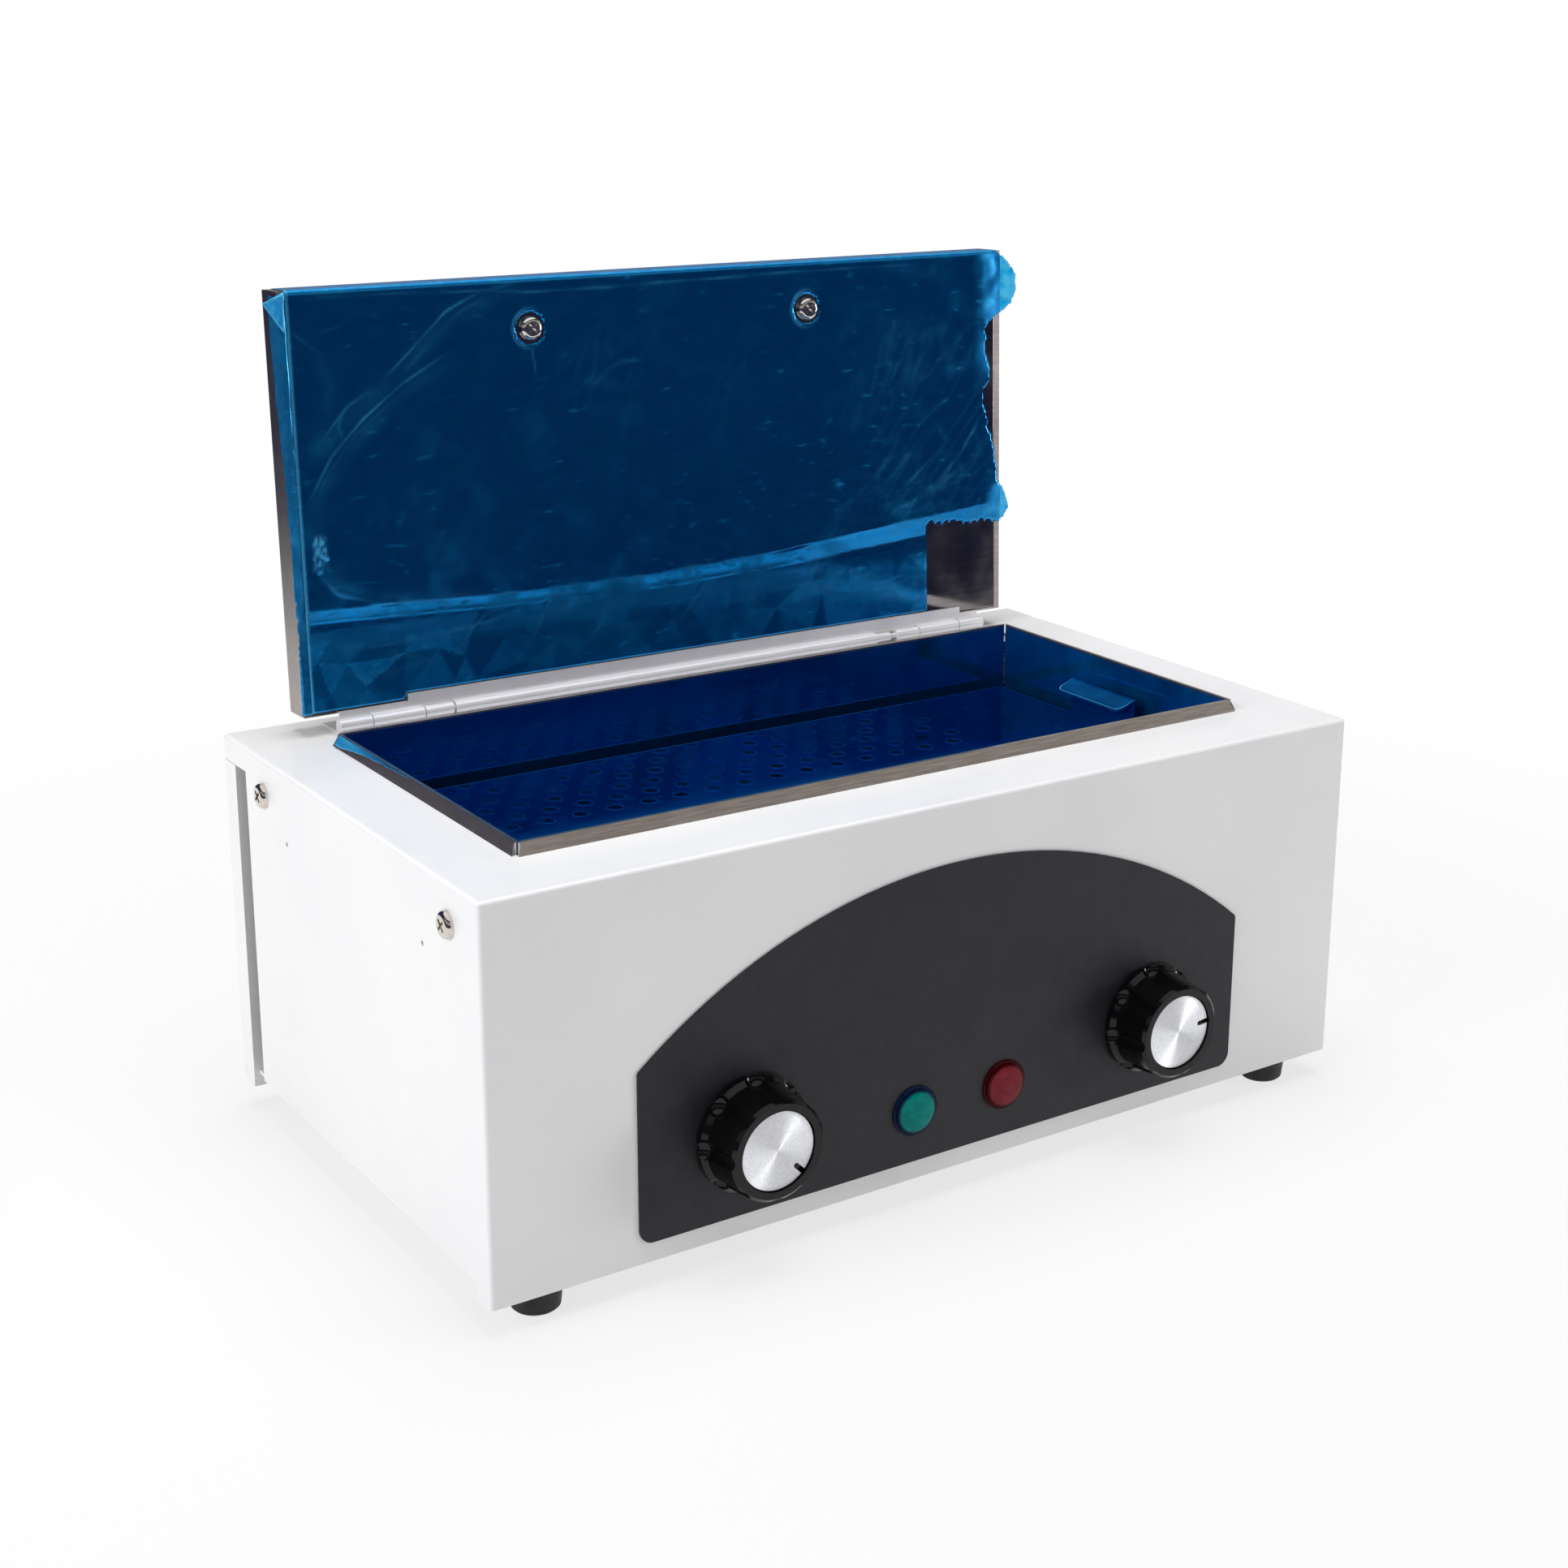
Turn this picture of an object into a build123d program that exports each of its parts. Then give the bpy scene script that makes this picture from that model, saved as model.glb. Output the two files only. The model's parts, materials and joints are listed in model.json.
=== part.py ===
from build123d import *
import math
import os

os.makedirs("parts", exist_ok=True)

# Dry heat box for nail tools: a folded steel case with a heated chamber, a lift-out tray,
# a hinged lid and two controls on the front. Millimetres, +X right, +Y to the rear, +Z up.
# The origin is on the surface that the feet stand on, under the middle of the whole object.

# Case, folded from painted sheet
case_w = 355.0
case_d = 205.0
case_h = 133.0
sheet = 1.2
bend_r = 1.5
base_rise = 5.0
front_fold = 9.5
rear_gap = 10.0
rear_strip = 11.0
skirt_h = 8.7
side_flange = 10.0
rear_flange = 12.0
panel_gap = 0.3
base_gap = 0.8
fold_gap = 0.4
rear_tab_h = 10.0
rear_tab_end = 3.0

# Vents: two groups of upright slots in the rear panel and two in the base plate
vent_w = 3.2
vent_h = 26.0
vent_pitch = 9.0
vents = 9
vent_x = 85.0
vent_z = 84.0
base_vents = 11
base_vent_l = 34.0
base_vent_pitch = 12.0
base_vent_x = -60.0
base_vent_front = -40.0
base_vent_rear = 52.0

# Screws and nuts, with the clearances of plain and tapped holes round them
screw_r = 1.5
screw_head_r = 3.0
screw_head_h = 2.0
screw_l = 5.0
rear_screw_l = 6.0
m4_r = 2.0
m4_nut_w = 7.0
m4_nut_h = 3.2
hole_clear = 0.1
thread_clear = 0.03
base_screw_in = 6.0
base_screw_pitch = 70.0
skirt_screw_pitch = 130.0
skirt_screw_drop = 0.4
rear_base_screw_x = 100.0

# Feet
foot_h = 15.0
foot_r_low = 8.0
foot_r_high = 9.5
foot_inset_x = 21.5
foot_inset_front = 12.5
foot_inset_rear = 17.5
foot_recess_r = 4.5
foot_recess_h = 7.0
foot_edge = 0.8
foot_head_r = 3.6
foot_head_h = 2.4
foot_screw_past = 4.0

# Chamber pressed into the top of the case
chamber_w = 295.0
chamber_d = 136.0
chamber_deep = 50.0
chamber_back = -2.0
liner_t = 0.8
hem_h = 4.2
hem_w = 3.0
hem_top_w = 1.2
mitre_w = 2.2
mitre_l = 9.0
mitre_out = 3.2
seam_w = 0.6
seam_l = 4.0
seam_rise = 2.0
opening_gap = 0.3

# Heater and insulation under the chamber
wool_t = 8.0
wool_floor_t = 6.0
wool_drop = 24.0
wool_gap = 0.2
heater_end_in = 7.5
heater_side_in = 8.0
heater_t = 3.0
clamp_w = 12.0
clamp_t = 2.0
clamp_y = 35.0
stud_in = 4.0
stud_r = 1.9
stud_l = 8.5
stud_clear = 0.15
stud_nut_h = 2.4
clamp_end = 1.0
heater_room = 4.0
lead_hole_r = 14.0
cutout_x = -10.0
cutout_drop = 38.0
cutout_r = 8.0
cutout_l = 10.0
cutout_clear = 1.0
blade_l = 6.0
blade_w = 6.0
blade_t = 0.8
blade_out = 4.0

# Tray
tray_end_gap = 6.2
tray_side_gap = 6.3
tray_h = 25.0
tray_t = 0.8
tray_clear = 0.3
tray_foot_h = 4.5
tray_foot_r = 4.0
tray_foot_in = 20.0
tray_hole_r = 3.0
tray_pitch_x = 14.7
tray_pitch_y = 11.0
tray_margin = 9.0
tab_w = 38.0
tab_y = -4.0
tab_rise = 14.1
tab_lip = 8.6
tab_lip_drop = 3.0
tab_corner_r = 3.0

# Lid, in its own frame: u runs up the open lid from the hinge, v runs to its outside
hinge_back = 78.0
hinge_rise = 3.5
lean = 2.1
lid_half = 155.2
lid_low = 4.0
lid_high = 153.8
lid_face_v = 2.4
lid_deep = 14.0
lid_t = 0.8
lid_lip = 2.6
plate_v = 2.1
plate_t = 0.6
plate_fold = 6.0
plate_gap = 0.2
shell_round = 1.6
plate_round = 0.5
felt_gap = 0.2
felt_hole_r = 2.6
lid_head_r = 4.3
lid_head_h = 2.4
film_t = 0.15
film_off = 0.1
film_bare = 2.0
film_fold = 11.0
film_hole_r = 4.7

# Hinge
knuckle_r = 2.3
pin_r = 1.0
pin_fit = 0.06
leaf_t = 0.9
leaf_deep = 15.0
leaf_high = 7.2
leaf_step = 4.7
leaf_clear = 0.4
hinge_half = 143.6
knuckle_outer = 12.3
knuckle_mid = 20.0
knuckle_inner = 11.0
bead_left = -98.5
bead_right = 96.3
crimp_l = 7.0
crimp_r = 1.8
pin_reach = 10.5
pin_over = 0.2
strip_left = -115.7
strip_right = 133.6
strip_gap = 0.3
leaf_in = 1.0

# Lid handle
handle_screw_x = 60.0
handle_u = 135.6
handle_w = 16.0
handle_h = 28.0
handle_bar = 10.0
handle_foot = 26.0
handle_soft = 2.5
handle_bite = 10.0
handle_slope = 5.0
handle_shoulder = 7.0
handle_corner = 13.0
handle_inner_slope = 6.0

# Front panel and what stands on it
panel_half = 125.5
panel_low = 7.0
panel_side = 66.0
panel_arc_r = 195.0
panel_t = 0.8
panel_low_r = 5.0
panel_high_r = 2.0
control_in = 40.9
control_z = 35.8
knob_proud = 18.5
knob_clear = 0.7
knob_skirt_r = 20.2
knob_rear_r = 18.6
knob_front_r = 17.3
knob_skirt_t = 1.8
knob_edge = 1.1
flute_r = 4.2
flute_out = 20.6
flutes = 8
disc_r = 13.4
disc_t = 1.0
disc_sink = 0.9
disc_gap = 0.4
notch_w = 1.8
notch_l = 3.6
knob_hollow_r = 11.0
knob_hollow = 8.0
shaft_r = 3.0
shaft_fit = 0.05
shaft_flat = 2.3
shaft_deep = 6.0
shaft_short = 4.0
flute_step = 0.6
flute_soft = 1.6
skirt_slope = 1.6
thermostat_pointer = -45.0
timer_pointer = 6.0
bushing_r = 5.0
bushing_l = 4.8
bushing_gap = 0.1
bushing_bore = 8.0
control_nut_w = 14.0
control_nut_h = 2.5
works_round = 2.0
thermostat_w = 36.0
thermostat_deep = 28.0
timer_w = 40.0
timer_deep = 35.0
lamp_x = 19.0
lamp_z = 26.0
lamp_r = 9.0
lamp_rim = 0.9
lamp_rim_edge = 0.3
lamp_crown_r = 8.0
lamp_crown = 0.6
lamp_dome = 1.3
lamp_stem_r = 5.75
lamp_hole_r = 6.2
lamp_stem_l = 14.0
lamp_body_l = 12.0
lamp_body_r = 6.8
lamp_nut_r = 8.0
lamp_nut_t = 3.0
lamp_blade_x = 3.0
lamp_blade_w = 2.8

# Screws in the case sides, front to rear from the middle of the case
side_screw_z = 120.0
side_screw_front = -82.0
side_screw_rear = 65.0
pin_hole_z = 107.7
pin_hole_front = -63.0
pin_hole_rear = 45.7
pin_hole_r = 0.9
bracket_t = 1.2
bracket_w = 20.0
bracket_reach = 34.0
bracket_lap = 8.0
bracket_rise = 1.0
bracket_drop = 4.0
side_head_r = 4.5
side_head_h = 2.4
side_screw_l = 8.0

# Power inlet in the rear panel
inlet_in = 57.5
inlet_z = 32.0
inlet_flange_w = 50.0
inlet_flange_h = 23.0
inlet_flange_t = 2.5
inlet_w = 27.0
inlet_h = 19.5
inlet_deep = 16.0
socket_w = 24.0
socket_h = 16.0
socket_deep = 14.0
inlet_screw_x = 20.0
inlet_clear = 0.3
inlet_corner_r = 5.0
inlet_edge_r = 0.6
socket_cut = 5.0
blade_x = 7.0
blade_low = -1.5
blade_high = 2.5
inlet_pin_w = 2.0
inlet_pin_h = 4.0
inlet_pin_tail = 8.0
inlet_pin_inset = 2.0
inlet_head_r = 2.8
inlet_head_h = 1.8
inlet_screw_l = 9.0

# Thermostat bulb on the chamber's front wall
bulb_r = 3.0
bulb_gap = 0.3
bulb_drop = 15.0
bulb_left = -60.0
bulb_right = 20.0
bulb_round = 1.2
capillary_r = 0.8
capillary_in = 12.0
capillary_bend = 6.0
clip_w = 8.0
clip_half_h = 4.4
clip_t = 1.0
clip_in = 18.0
clip_clear = 0.05

# Terminal block and wiring
wire_r = 1.2
wire_bend = 8.0
short_bend = 5.0
mains_bend = 9.0
terminal_w = 44.0
terminal_d = 16.0
terminal_h = 14.0
terminal_ways = 5
terminal_groove_w = 1.4
terminal_groove_h = 4.0
wire_rise = 7.0
mains_near = 40.0
mains_far = 46.0
earth_out = 25.0
earth_back = 9.0
earth_h = 5.0
lead_up = 4.0
lead_out = 24.0
lead_in = 12.0
outer_way = 15.0
inner_way = 5.0
heater_lead_x = 8.0
cutout_lead = 9.0

# Worked out from the sizes above
case_lift = foot_h - base_rise
sill = case_lift
top = sill + case_h
half_w = case_w / 2
inlet_x = half_w - inlet_in
lean_sin = math.sin(math.radians(lean))
lean_cos = math.cos(math.radians(lean))
handle_back = (handle_u + handle_w / 2) * lean_sin + (lid_face_v + lid_deep + handle_h) * lean_cos
mid = (case_d / 2 + knob_proud - hinge_back - handle_back) / 2
front = mid - case_d / 2
back = mid + case_d / 2
base_top = sill + base_rise + sheet
rear_strip_y = back - rear_strip
side_end = rear_strip_y - rear_gap
chamber_y = mid + chamber_back
chamber_x = chamber_w / 2
chamber_half_d = chamber_d / 2
heater_x = chamber_x - heater_end_in
heater_half_d = chamber_half_d - heater_side_in
stud_x = chamber_x - stud_in
tray_x = chamber_x - tray_end_gap
tray_half_d = chamber_half_d - tray_side_gap
control_x = panel_half - control_in
liner_x = chamber_x + liner_t
liner_half_d = chamber_half_d + liner_t
liner_low = top - chamber_deep - liner_t
wool_top = top - wool_drop
wool_inner = liner_low - heater_t - clamp_t - heater_room
wool_low = wool_inner - wool_floor_t
hinge_y = mid + hinge_back
hinge_z = top + hinge_rise
lid_place = Pos(0, hinge_y, hinge_z) * Rot(-lean, 0, 0)
lid_outer_v = lid_face_v + lid_deep
control_height = sill + control_z
lamp_height = sill + lamp_z
tray_low = top - chamber_deep + tray_clear + tray_foot_h


def block(x0, x1, y0, y1, z0, z1):
    """A box between two corners."""
    return Pos((x0 + x1) / 2, (y0 + y1) / 2, (z0 + z1) / 2) * Box(x1 - x0, y1 - y0, z1 - z0)


def rod_x(x0, x1, y, z, r):
    """A round bar along X."""
    return Pos((x0 + x1) / 2, y, z) * Rot(0, 90, 0) * Cylinder(r, x1 - x0)


def rod_y(x, y0, y1, z, r):
    """A round bar along Y."""
    return Pos(x, (y0 + y1) / 2, z) * Rot(90, 0, 0) * Cylinder(r, y1 - y0)


def rod_z(x, y, z0, z1, r):
    """A round bar along Z."""
    return Pos(x, y, (z0 + z1) / 2) * Cylinder(r, z1 - z0)


def turned(points):
    """A solid turned about Z from an outline of radius and height pairs."""
    outline = Polyline(*[(r, 0, z) for r, z in points], close=True)
    return revolve(make_face(outline), Axis.Z)


def hex_nut(width, height, bore):
    """A nut that stands on its seat at z 0."""
    corner_r = width / math.sqrt(3)
    body = extrude(RegularPolygon(corner_r, 6), height)
    return body - rod_z(0, 0, -1, height + 1, bore)


def pan_screw(head_r, head_h, shank_r, shank_l):
    """A cross-recessed screw: the head stands on z 0 and the shank runs down."""
    head = rod_z(0, 0, 0, head_h, head_r)
    head = fillet(head.edges().group_by(Axis.Z)[-1], head_h * 0.7)
    slot_l = head_r * 1.05
    slot_w = slot_l * 0.22
    for turn in (45, 135):
        head -= Pos(0, 0, head_h) * Rot(0, 0, turn) * Box(slot_l, slot_w, head_h)
    return head + rod_z(0, 0, -shank_l, 0, shank_r)


def tube(points, r, bend):
    """A round wire along straight runs joined by tangent bends."""
    path = FilletPolyline(*points, radius=bend)
    section = Plane(origin=path @ 0, z_dir=path % 0) * Circle(r)
    return sweep(section, path)


def save(name, *solids):
    """Writes one sub-part. Separate pieces of one kind share a file."""
    shape = solids[0] if len(solids) == 1 else Compound(children=list(solids))
    export_step(shape, f"parts/{name}.step")


# Case cover: front, top and sides in one sheet
chamber_cut = block(
    -liner_x - opening_gap, liner_x + opening_gap,
    chamber_y - liner_half_d - opening_gap, chamber_y + liner_half_d + opening_gap,
    top - 2 * sheet, top + 1,
)
cover = block(-half_w, half_w, front, back, sill, top)
cover = fillet(cover.edges().filter_by(Axis.Z) + cover.edges().group_by(Axis.Z)[-1], bend_r)
cover -= block(-half_w + sheet, half_w - sheet, front + sheet, back - sheet, sill - 1, top - sheet)
side_cut = block(-half_w - 5, half_w + 5, front + front_fold, back + 5, sill - 5, base_top)
cover -= fillet(side_cut.edges().filter_by(Axis.X), bend_r)
cover -= block(-half_w - 1, half_w + 1, side_end, back + 1, sill - 1, top - skirt_h)
for side in (-1, 1):
    edge_x = side * (half_w - sheet / 2)
    inner_x = side * (half_w - side_flange)
    cover += block(
        min(edge_x, inner_x), max(edge_x, inner_x), front + front_fold + bend_r, side_end - 1,
        base_top, base_top + sheet,
    )
cover -= chamber_cut
base_screw_x = half_w - base_screw_in
base_screw_y = [mid - base_screw_pitch, mid, mid + base_screw_pitch]
for side in (-1, 1):
    cover -= rod_y(side * control_x, front - 1, front + 2 * sheet, control_height, bushing_r + bushing_gap)
    cover -= rod_y(side * lamp_x, front - 1, front + 2 * sheet, lamp_height, lamp_hole_r)
    wall_x = side * half_w
    for y in (side_screw_front, side_screw_rear):
        cover -= rod_x(
            wall_x - 2 * sheet, wall_x + 2 * sheet, mid + y, sill + side_screw_z, m4_r + hole_clear
        )
    for y in (pin_hole_front, pin_hole_rear):
        cover -= rod_x(wall_x - 2 * sheet, wall_x + 2 * sheet, mid + y, sill + pin_hole_z, pin_hole_r)
    for y in base_screw_y:
        cover -= rod_z(side * base_screw_x, y, base_top - 1, base_top + 2 * sheet, screw_r)
skirt_screw_x = [-skirt_screw_pitch, 0.0, skirt_screw_pitch]
skirt_screw_z = top - skirt_h / 2 - skirt_screw_drop
for x in skirt_screw_x:
    cover -= rod_y(x, back - 2 * sheet, back + 1, skirt_screw_z, screw_r + hole_clear)
save("case_cover", cover)

# Rear panel: a pan with side strips, an upper tab behind the cover's skirt and vents
panel_high = top - skirt_h - panel_gap
rear = block(-half_w, half_w, rear_strip_y, back, sill, panel_high)
rear_corners = rear.edges().filter_by(Axis.Z).group_by(Axis.Y)[-1]
rear = fillet(rear_corners, bend_r)
rear -= block(-half_w + sheet, half_w - sheet, rear_strip_y - 1, back - sheet, sill - 1, top)
for side in (-1, 1):
    edge_x = side * (half_w - sheet / 2)
    inner_x = side * (half_w - rear_flange)
    rear += block(
        min(edge_x, inner_x), max(edge_x, inner_x), rear_strip_y, rear_strip_y + sheet, sill, panel_high,
    )
rear_inner = back - sheet
tab_half = half_w - rear_flange - rear_tab_end
rear += block(
    -tab_half, tab_half, rear_inner - sheet, rear_inner, panel_high - rear_tab_h, top - sheet - fold_gap,
)
rear += block(
    -tab_half, tab_half, rear_inner - rear_flange, rear_inner + sheet / 2, base_top, base_top + sheet,
)
for group_x in (-vent_x, vent_x):
    for i in range(vents):
        x = group_x + (i - (vents - 1) / 2) * vent_pitch
        slot = Pos(x, back, sill + vent_z) * Rot(90, 0, 0) * SlotOverall(vent_h, vent_w, rotation=90)
        rear -= extrude(slot, 3 * sheet, both=True)
inlet_height = sill + inlet_z
inlet_hole_x = inlet_w / 2 + inlet_clear
inlet_hole_z = inlet_h / 2 + inlet_clear
rear -= block(
    inlet_x - inlet_hole_x, inlet_x + inlet_hole_x, back - 2 * sheet, back + 1,
    inlet_height - inlet_hole_z, inlet_height + inlet_hole_z,
)
for side in (-1, 1):
    x = inlet_x + side * inlet_screw_x
    rear -= rod_y(x, back - 2 * sheet, back + 1, inlet_height, screw_r + hole_clear)
for x in skirt_screw_x:
    rear -= rod_y(x, rear_inner - 2 * sheet, rear_inner + 1, skirt_screw_z, screw_r)
rear_base_screw_y = rear_inner - rear_flange / 2
for x in (-rear_base_screw_x, rear_base_screw_x):
    rear -= rod_z(x, rear_base_screw_y, base_top - 1, base_top + 2 * sheet, screw_r)
save("rear_panel", rear)

# Base plate with vents, under the folds of the cover
base_x = half_w - sheet - base_gap
foot_x = half_w - foot_inset_x
foot_y = [front + foot_inset_front, back - foot_inset_rear]
base_low = sill + base_rise
base = block(-base_x, base_x, front + sheet + fold_gap, back - sheet - fold_gap, base_low, base_top)
for side in (-1, 1):
    notch_in = side * (half_w - rear_flange - fold_gap)
    notch_out = side * (half_w + 1)
    base -= block(
        min(notch_in, notch_out), max(notch_in, notch_out), rear_strip_y - fold_gap, back,
        base_low - 1, base_top + 1,
    )
    for y in foot_y:
        base -= rod_z(side * foot_x, y, base_low - 1, base_top + 1, m4_r + hole_clear)
    for y in base_screw_y:
        base -= rod_z(side * base_screw_x, y, base_low - 1, base_top + 1, screw_r + hole_clear)
for x in (-rear_base_screw_x, rear_base_screw_x):
    base -= rod_z(x, rear_base_screw_y, base_low - 1, base_top + 1, screw_r + hole_clear)
for group_y in (mid + base_vent_front, mid + base_vent_rear):
    for i in range(base_vents):
        x = base_vent_x + (i - (base_vents - 1) / 2) * base_vent_pitch
        slot = Pos(x, group_y, base_low) * SlotOverall(base_vent_l, vent_w, rotation=90)
        base -= extrude(slot, 3 * sheet, both=True)
save("base_plate", base)

# Feet, each a tapered rubber plug with a screw up through its middle
feet = []
foot_screws = []
foot_nuts = []
for x in (-foot_x, foot_x):
    for y in foot_y:
        foot = turned(
            [(0, 0), (foot_r_low - foot_edge, 0), (foot_r_low, foot_edge), (foot_r_high, foot_h), (0, foot_h)]
        )
        foot -= rod_z(0, 0, -1, foot_recess_h, foot_recess_r)
        foot -= rod_z(0, 0, 0, foot_h + 1, m4_r + hole_clear)
        feet.append(Pos(x, y, 0) * foot)
        screw = pan_screw(foot_head_r, foot_head_h, m4_r, foot_h - foot_recess_h + sheet + foot_screw_past)
        foot_screws.append(Pos(x, y, foot_recess_h) * Rot(180, 0, 0) * screw)
        foot_nuts.append(Pos(x, y, base_top) * hex_nut(m4_nut_w, m4_nut_h, m4_r + thread_clear))
save("feet", *feet)
save("foot_screws", *foot_screws)
save("foot_nuts", *foot_nuts)

# Small screws that hold the base plate and the rear panel
base_screws = []
for x in (-base_screw_x, base_screw_x):
    for y in base_screw_y:
        screw = pan_screw(screw_head_r, screw_head_h, screw_r, screw_l)
        base_screws.append(Pos(x, y, base_low) * Rot(180, 0, 0) * screw)
for x in (-rear_base_screw_x, rear_base_screw_x):
    screw = pan_screw(screw_head_r, screw_head_h, screw_r, screw_l)
    base_screws.append(Pos(x, rear_base_screw_y, base_low) * Rot(180, 0, 0) * screw)
save("base_screws", *base_screws)
rear_screws = []
for x in skirt_screw_x:
    screw = pan_screw(screw_head_r, screw_head_h, screw_r, rear_screw_l)
    rear_screws.append(Pos(x, back, skirt_screw_z) * Rot(-90, 0, 0) * screw)
save("rear_screws", *rear_screws)

# Chamber liner: walls with open corner seams, a floor, and a sloped rim with open mitres
hem_x = chamber_x + hem_w
hem_half_d = chamber_half_d + hem_w
liner = block(
    -liner_x, liner_x, chamber_y - liner_half_d, chamber_y + liner_half_d, liner_low, top + hem_h - 0.1,
)
hem_foot = Pos(0, chamber_y, top) * Rectangle(2 * hem_x, 2 * hem_half_d)
hem_crown = Pos(0, chamber_y, top + hem_h) * Rectangle(
    chamber_w + 2 * hem_top_w, chamber_d + 2 * hem_top_w
)
rim = loft([hem_foot, hem_crown])
for sx in (-1, 1):
    for sy in (-1, 1):
        corner = Pos(
            sx * (liner_x + mitre_out), chamber_y + sy * (liner_half_d + mitre_out), top + hem_h / 2
        )
        rim -= corner * Rot(0, 0, 45 * sx * sy) * Box(mitre_l, mitre_w, 2 * hem_h)
liner += rim
liner -= block(
    -chamber_x, chamber_x, chamber_y - chamber_half_d, chamber_y + chamber_half_d,
    liner_low + liner_t, top + hem_h + 1,
)
seam_low = liner_low + liner_t + seam_rise
seam_high = top + hem_h + 1
for sx in (-1, 1):
    for sy in (-1, 1):
        seam = Pos(sx * liner_x, chamber_y + sy * liner_half_d, (seam_low + seam_high) / 2)
        liner -= seam * Rot(0, 0, 45 * sx * sy) * Box(seam_l, seam_w, seam_high - seam_low)
save("chamber_liner", liner)

# Brackets that hang the chamber from the case sides
case_inner_x = half_w - sheet
bracket_low = wool_top + bracket_rise
bracket_high = top - bracket_drop
brackets = []
for side in (-1, 1):
    spans = [
        (mid + side_screw_front - bracket_lap, mid + side_screw_front - bracket_lap + bracket_reach),
        (mid + side_screw_rear - bracket_w / 2, mid + side_screw_rear + bracket_w / 2),
    ]
    for y0, y1 in spans:
        x0 = min(side * liner_x, side * case_inner_x)
        x1 = max(side * liner_x, side * case_inner_x)
        bracket = block(x0, x1, y0, y1, bracket_low, bracket_high)
        bracket -= block(
            x0 + bracket_t, x1 - bracket_t, y0 - 1, y1 + 1, bracket_low + bracket_t, bracket_high + 1
        )
        screw_y = mid + side_screw_front if y0 < mid else mid + side_screw_rear
        wall_x = side * case_inner_x
        bracket -= rod_x(
            wall_x - 2 * bracket_t, wall_x + 2 * bracket_t, screw_y, sill + side_screw_z, m4_r + thread_clear
        )
        brackets.append(bracket)
save("chamber_brackets", *brackets)
side_screws = []
for side in (-1, 1):
    for y in (side_screw_front, side_screw_rear):
        screw = pan_screw(side_head_r, side_head_h, m4_r, side_screw_l)
        side_screws.append(Pos(side * half_w, mid + y, sill + side_screw_z) * Rot(0, 90 * side, 0) * screw)
save("side_screws", *side_screws)

# Insulation: a felt tub round the chamber walls and under the heater
cutout_y = chamber_y + liner_half_d
cutout_z = top - cutout_drop
wool_x = liner_x + wool_gap
wool_half_d = liner_half_d + wool_gap
wool = block(
    -wool_x - wool_t, wool_x + wool_t, chamber_y - wool_half_d - wool_t, chamber_y + wool_half_d + wool_t,
    wool_low, wool_top,
)
wool -= block(
    -wool_x, wool_x, chamber_y - wool_half_d, chamber_y + wool_half_d, wool_inner, wool_top + 1,
)
wool_back = chamber_y + wool_half_d
wool -= rod_y(cutout_x, wool_back - 1, wool_back + wool_t + 1, cutout_z, cutout_r + cutout_clear)
wool -= rod_z(0, mid + terminal_d / 2, wool_low - 1, wool_inner + 1, lead_hole_r)
save("chamber_insulation", wool)

# Flat heater clamped under the chamber floor
heater_low = liner_low - heater_t
heater = block(
    -heater_x, heater_x, chamber_y - heater_half_d, chamber_y + heater_half_d, heater_low, liner_low,
)
save("heater_plate", heater)
clamps = []
studs = []
stud_nuts = []
for y in (chamber_y - clamp_y, chamber_y + clamp_y):
    clamp_x = liner_x - clamp_end
    bar = block(-clamp_x, clamp_x, y - clamp_w / 2, y + clamp_w / 2, heater_low - clamp_t, heater_low)
    for x in (-stud_x, stud_x):
        bar -= rod_z(x, y, heater_low - clamp_t - 1, heater_low + 1, stud_r + stud_clear)
        studs.append(rod_z(x, y, liner_low - stud_l, liner_low, stud_r))
        nut = hex_nut(m4_nut_w, stud_nut_h, stud_r + thread_clear)
        stud_nuts.append(Pos(x, y, heater_low - clamp_t - stud_nut_h) * nut)
    clamps.append(bar)
save("heater_clamps", *clamps)
save("heater_studs", *studs)
save("heater_nuts", *stud_nuts)

# Thermal cut-out on the rear wall of the chamber
cutout = rod_y(cutout_x, cutout_y, cutout_y + cutout_l, cutout_z, cutout_r)
cutout_blade_x = [cutout_x - blade_out, cutout_x + blade_out]
cutout_end = cutout_y + cutout_l + blade_l
for x in cutout_blade_x:
    cutout += block(
        x - blade_t / 2, x + blade_t / 2, cutout_y + cutout_l - 1, cutout_end,
        cutout_z - blade_w / 2, cutout_z + blade_w / 2,
    )
save("thermal_cutout", cutout)

# Thermostat: its bulb on the front wall of the chamber, its body behind the left knob
bulb_y = chamber_y - liner_half_d - bulb_r - bulb_gap
bulb_z = top - bulb_drop
thermostat_top = control_height + thermostat_w / 2
capillary_y = front + capillary_in
bulb = rod_x(bulb_left, bulb_right, bulb_y, bulb_z, bulb_r)
bulb = fillet(bulb.edges(), bulb_round)
capillary = tube(
    [
        (bulb_left + bulb_round, bulb_y, bulb_z), (-control_x, bulb_y, bulb_z),
        (-control_x, capillary_y, bulb_z), (-control_x, capillary_y, thermostat_top),
    ],
    capillary_r, capillary_bend,
)
save("thermostat_bulb", bulb + capillary)
clips = []
for x in (bulb_left + clip_in, bulb_right - clip_in):
    clip = block(
        x - clip_w / 2, x + clip_w / 2, bulb_y - bulb_r - clip_t, chamber_y - liner_half_d,
        bulb_z - clip_half_h, bulb_z + clip_half_h,
    )
    clips.append(clip - rod_x(x - clip_w, x + clip_w, bulb_y, bulb_z, bulb_r + clip_clear))
save("bulb_clips", *clips)


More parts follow.
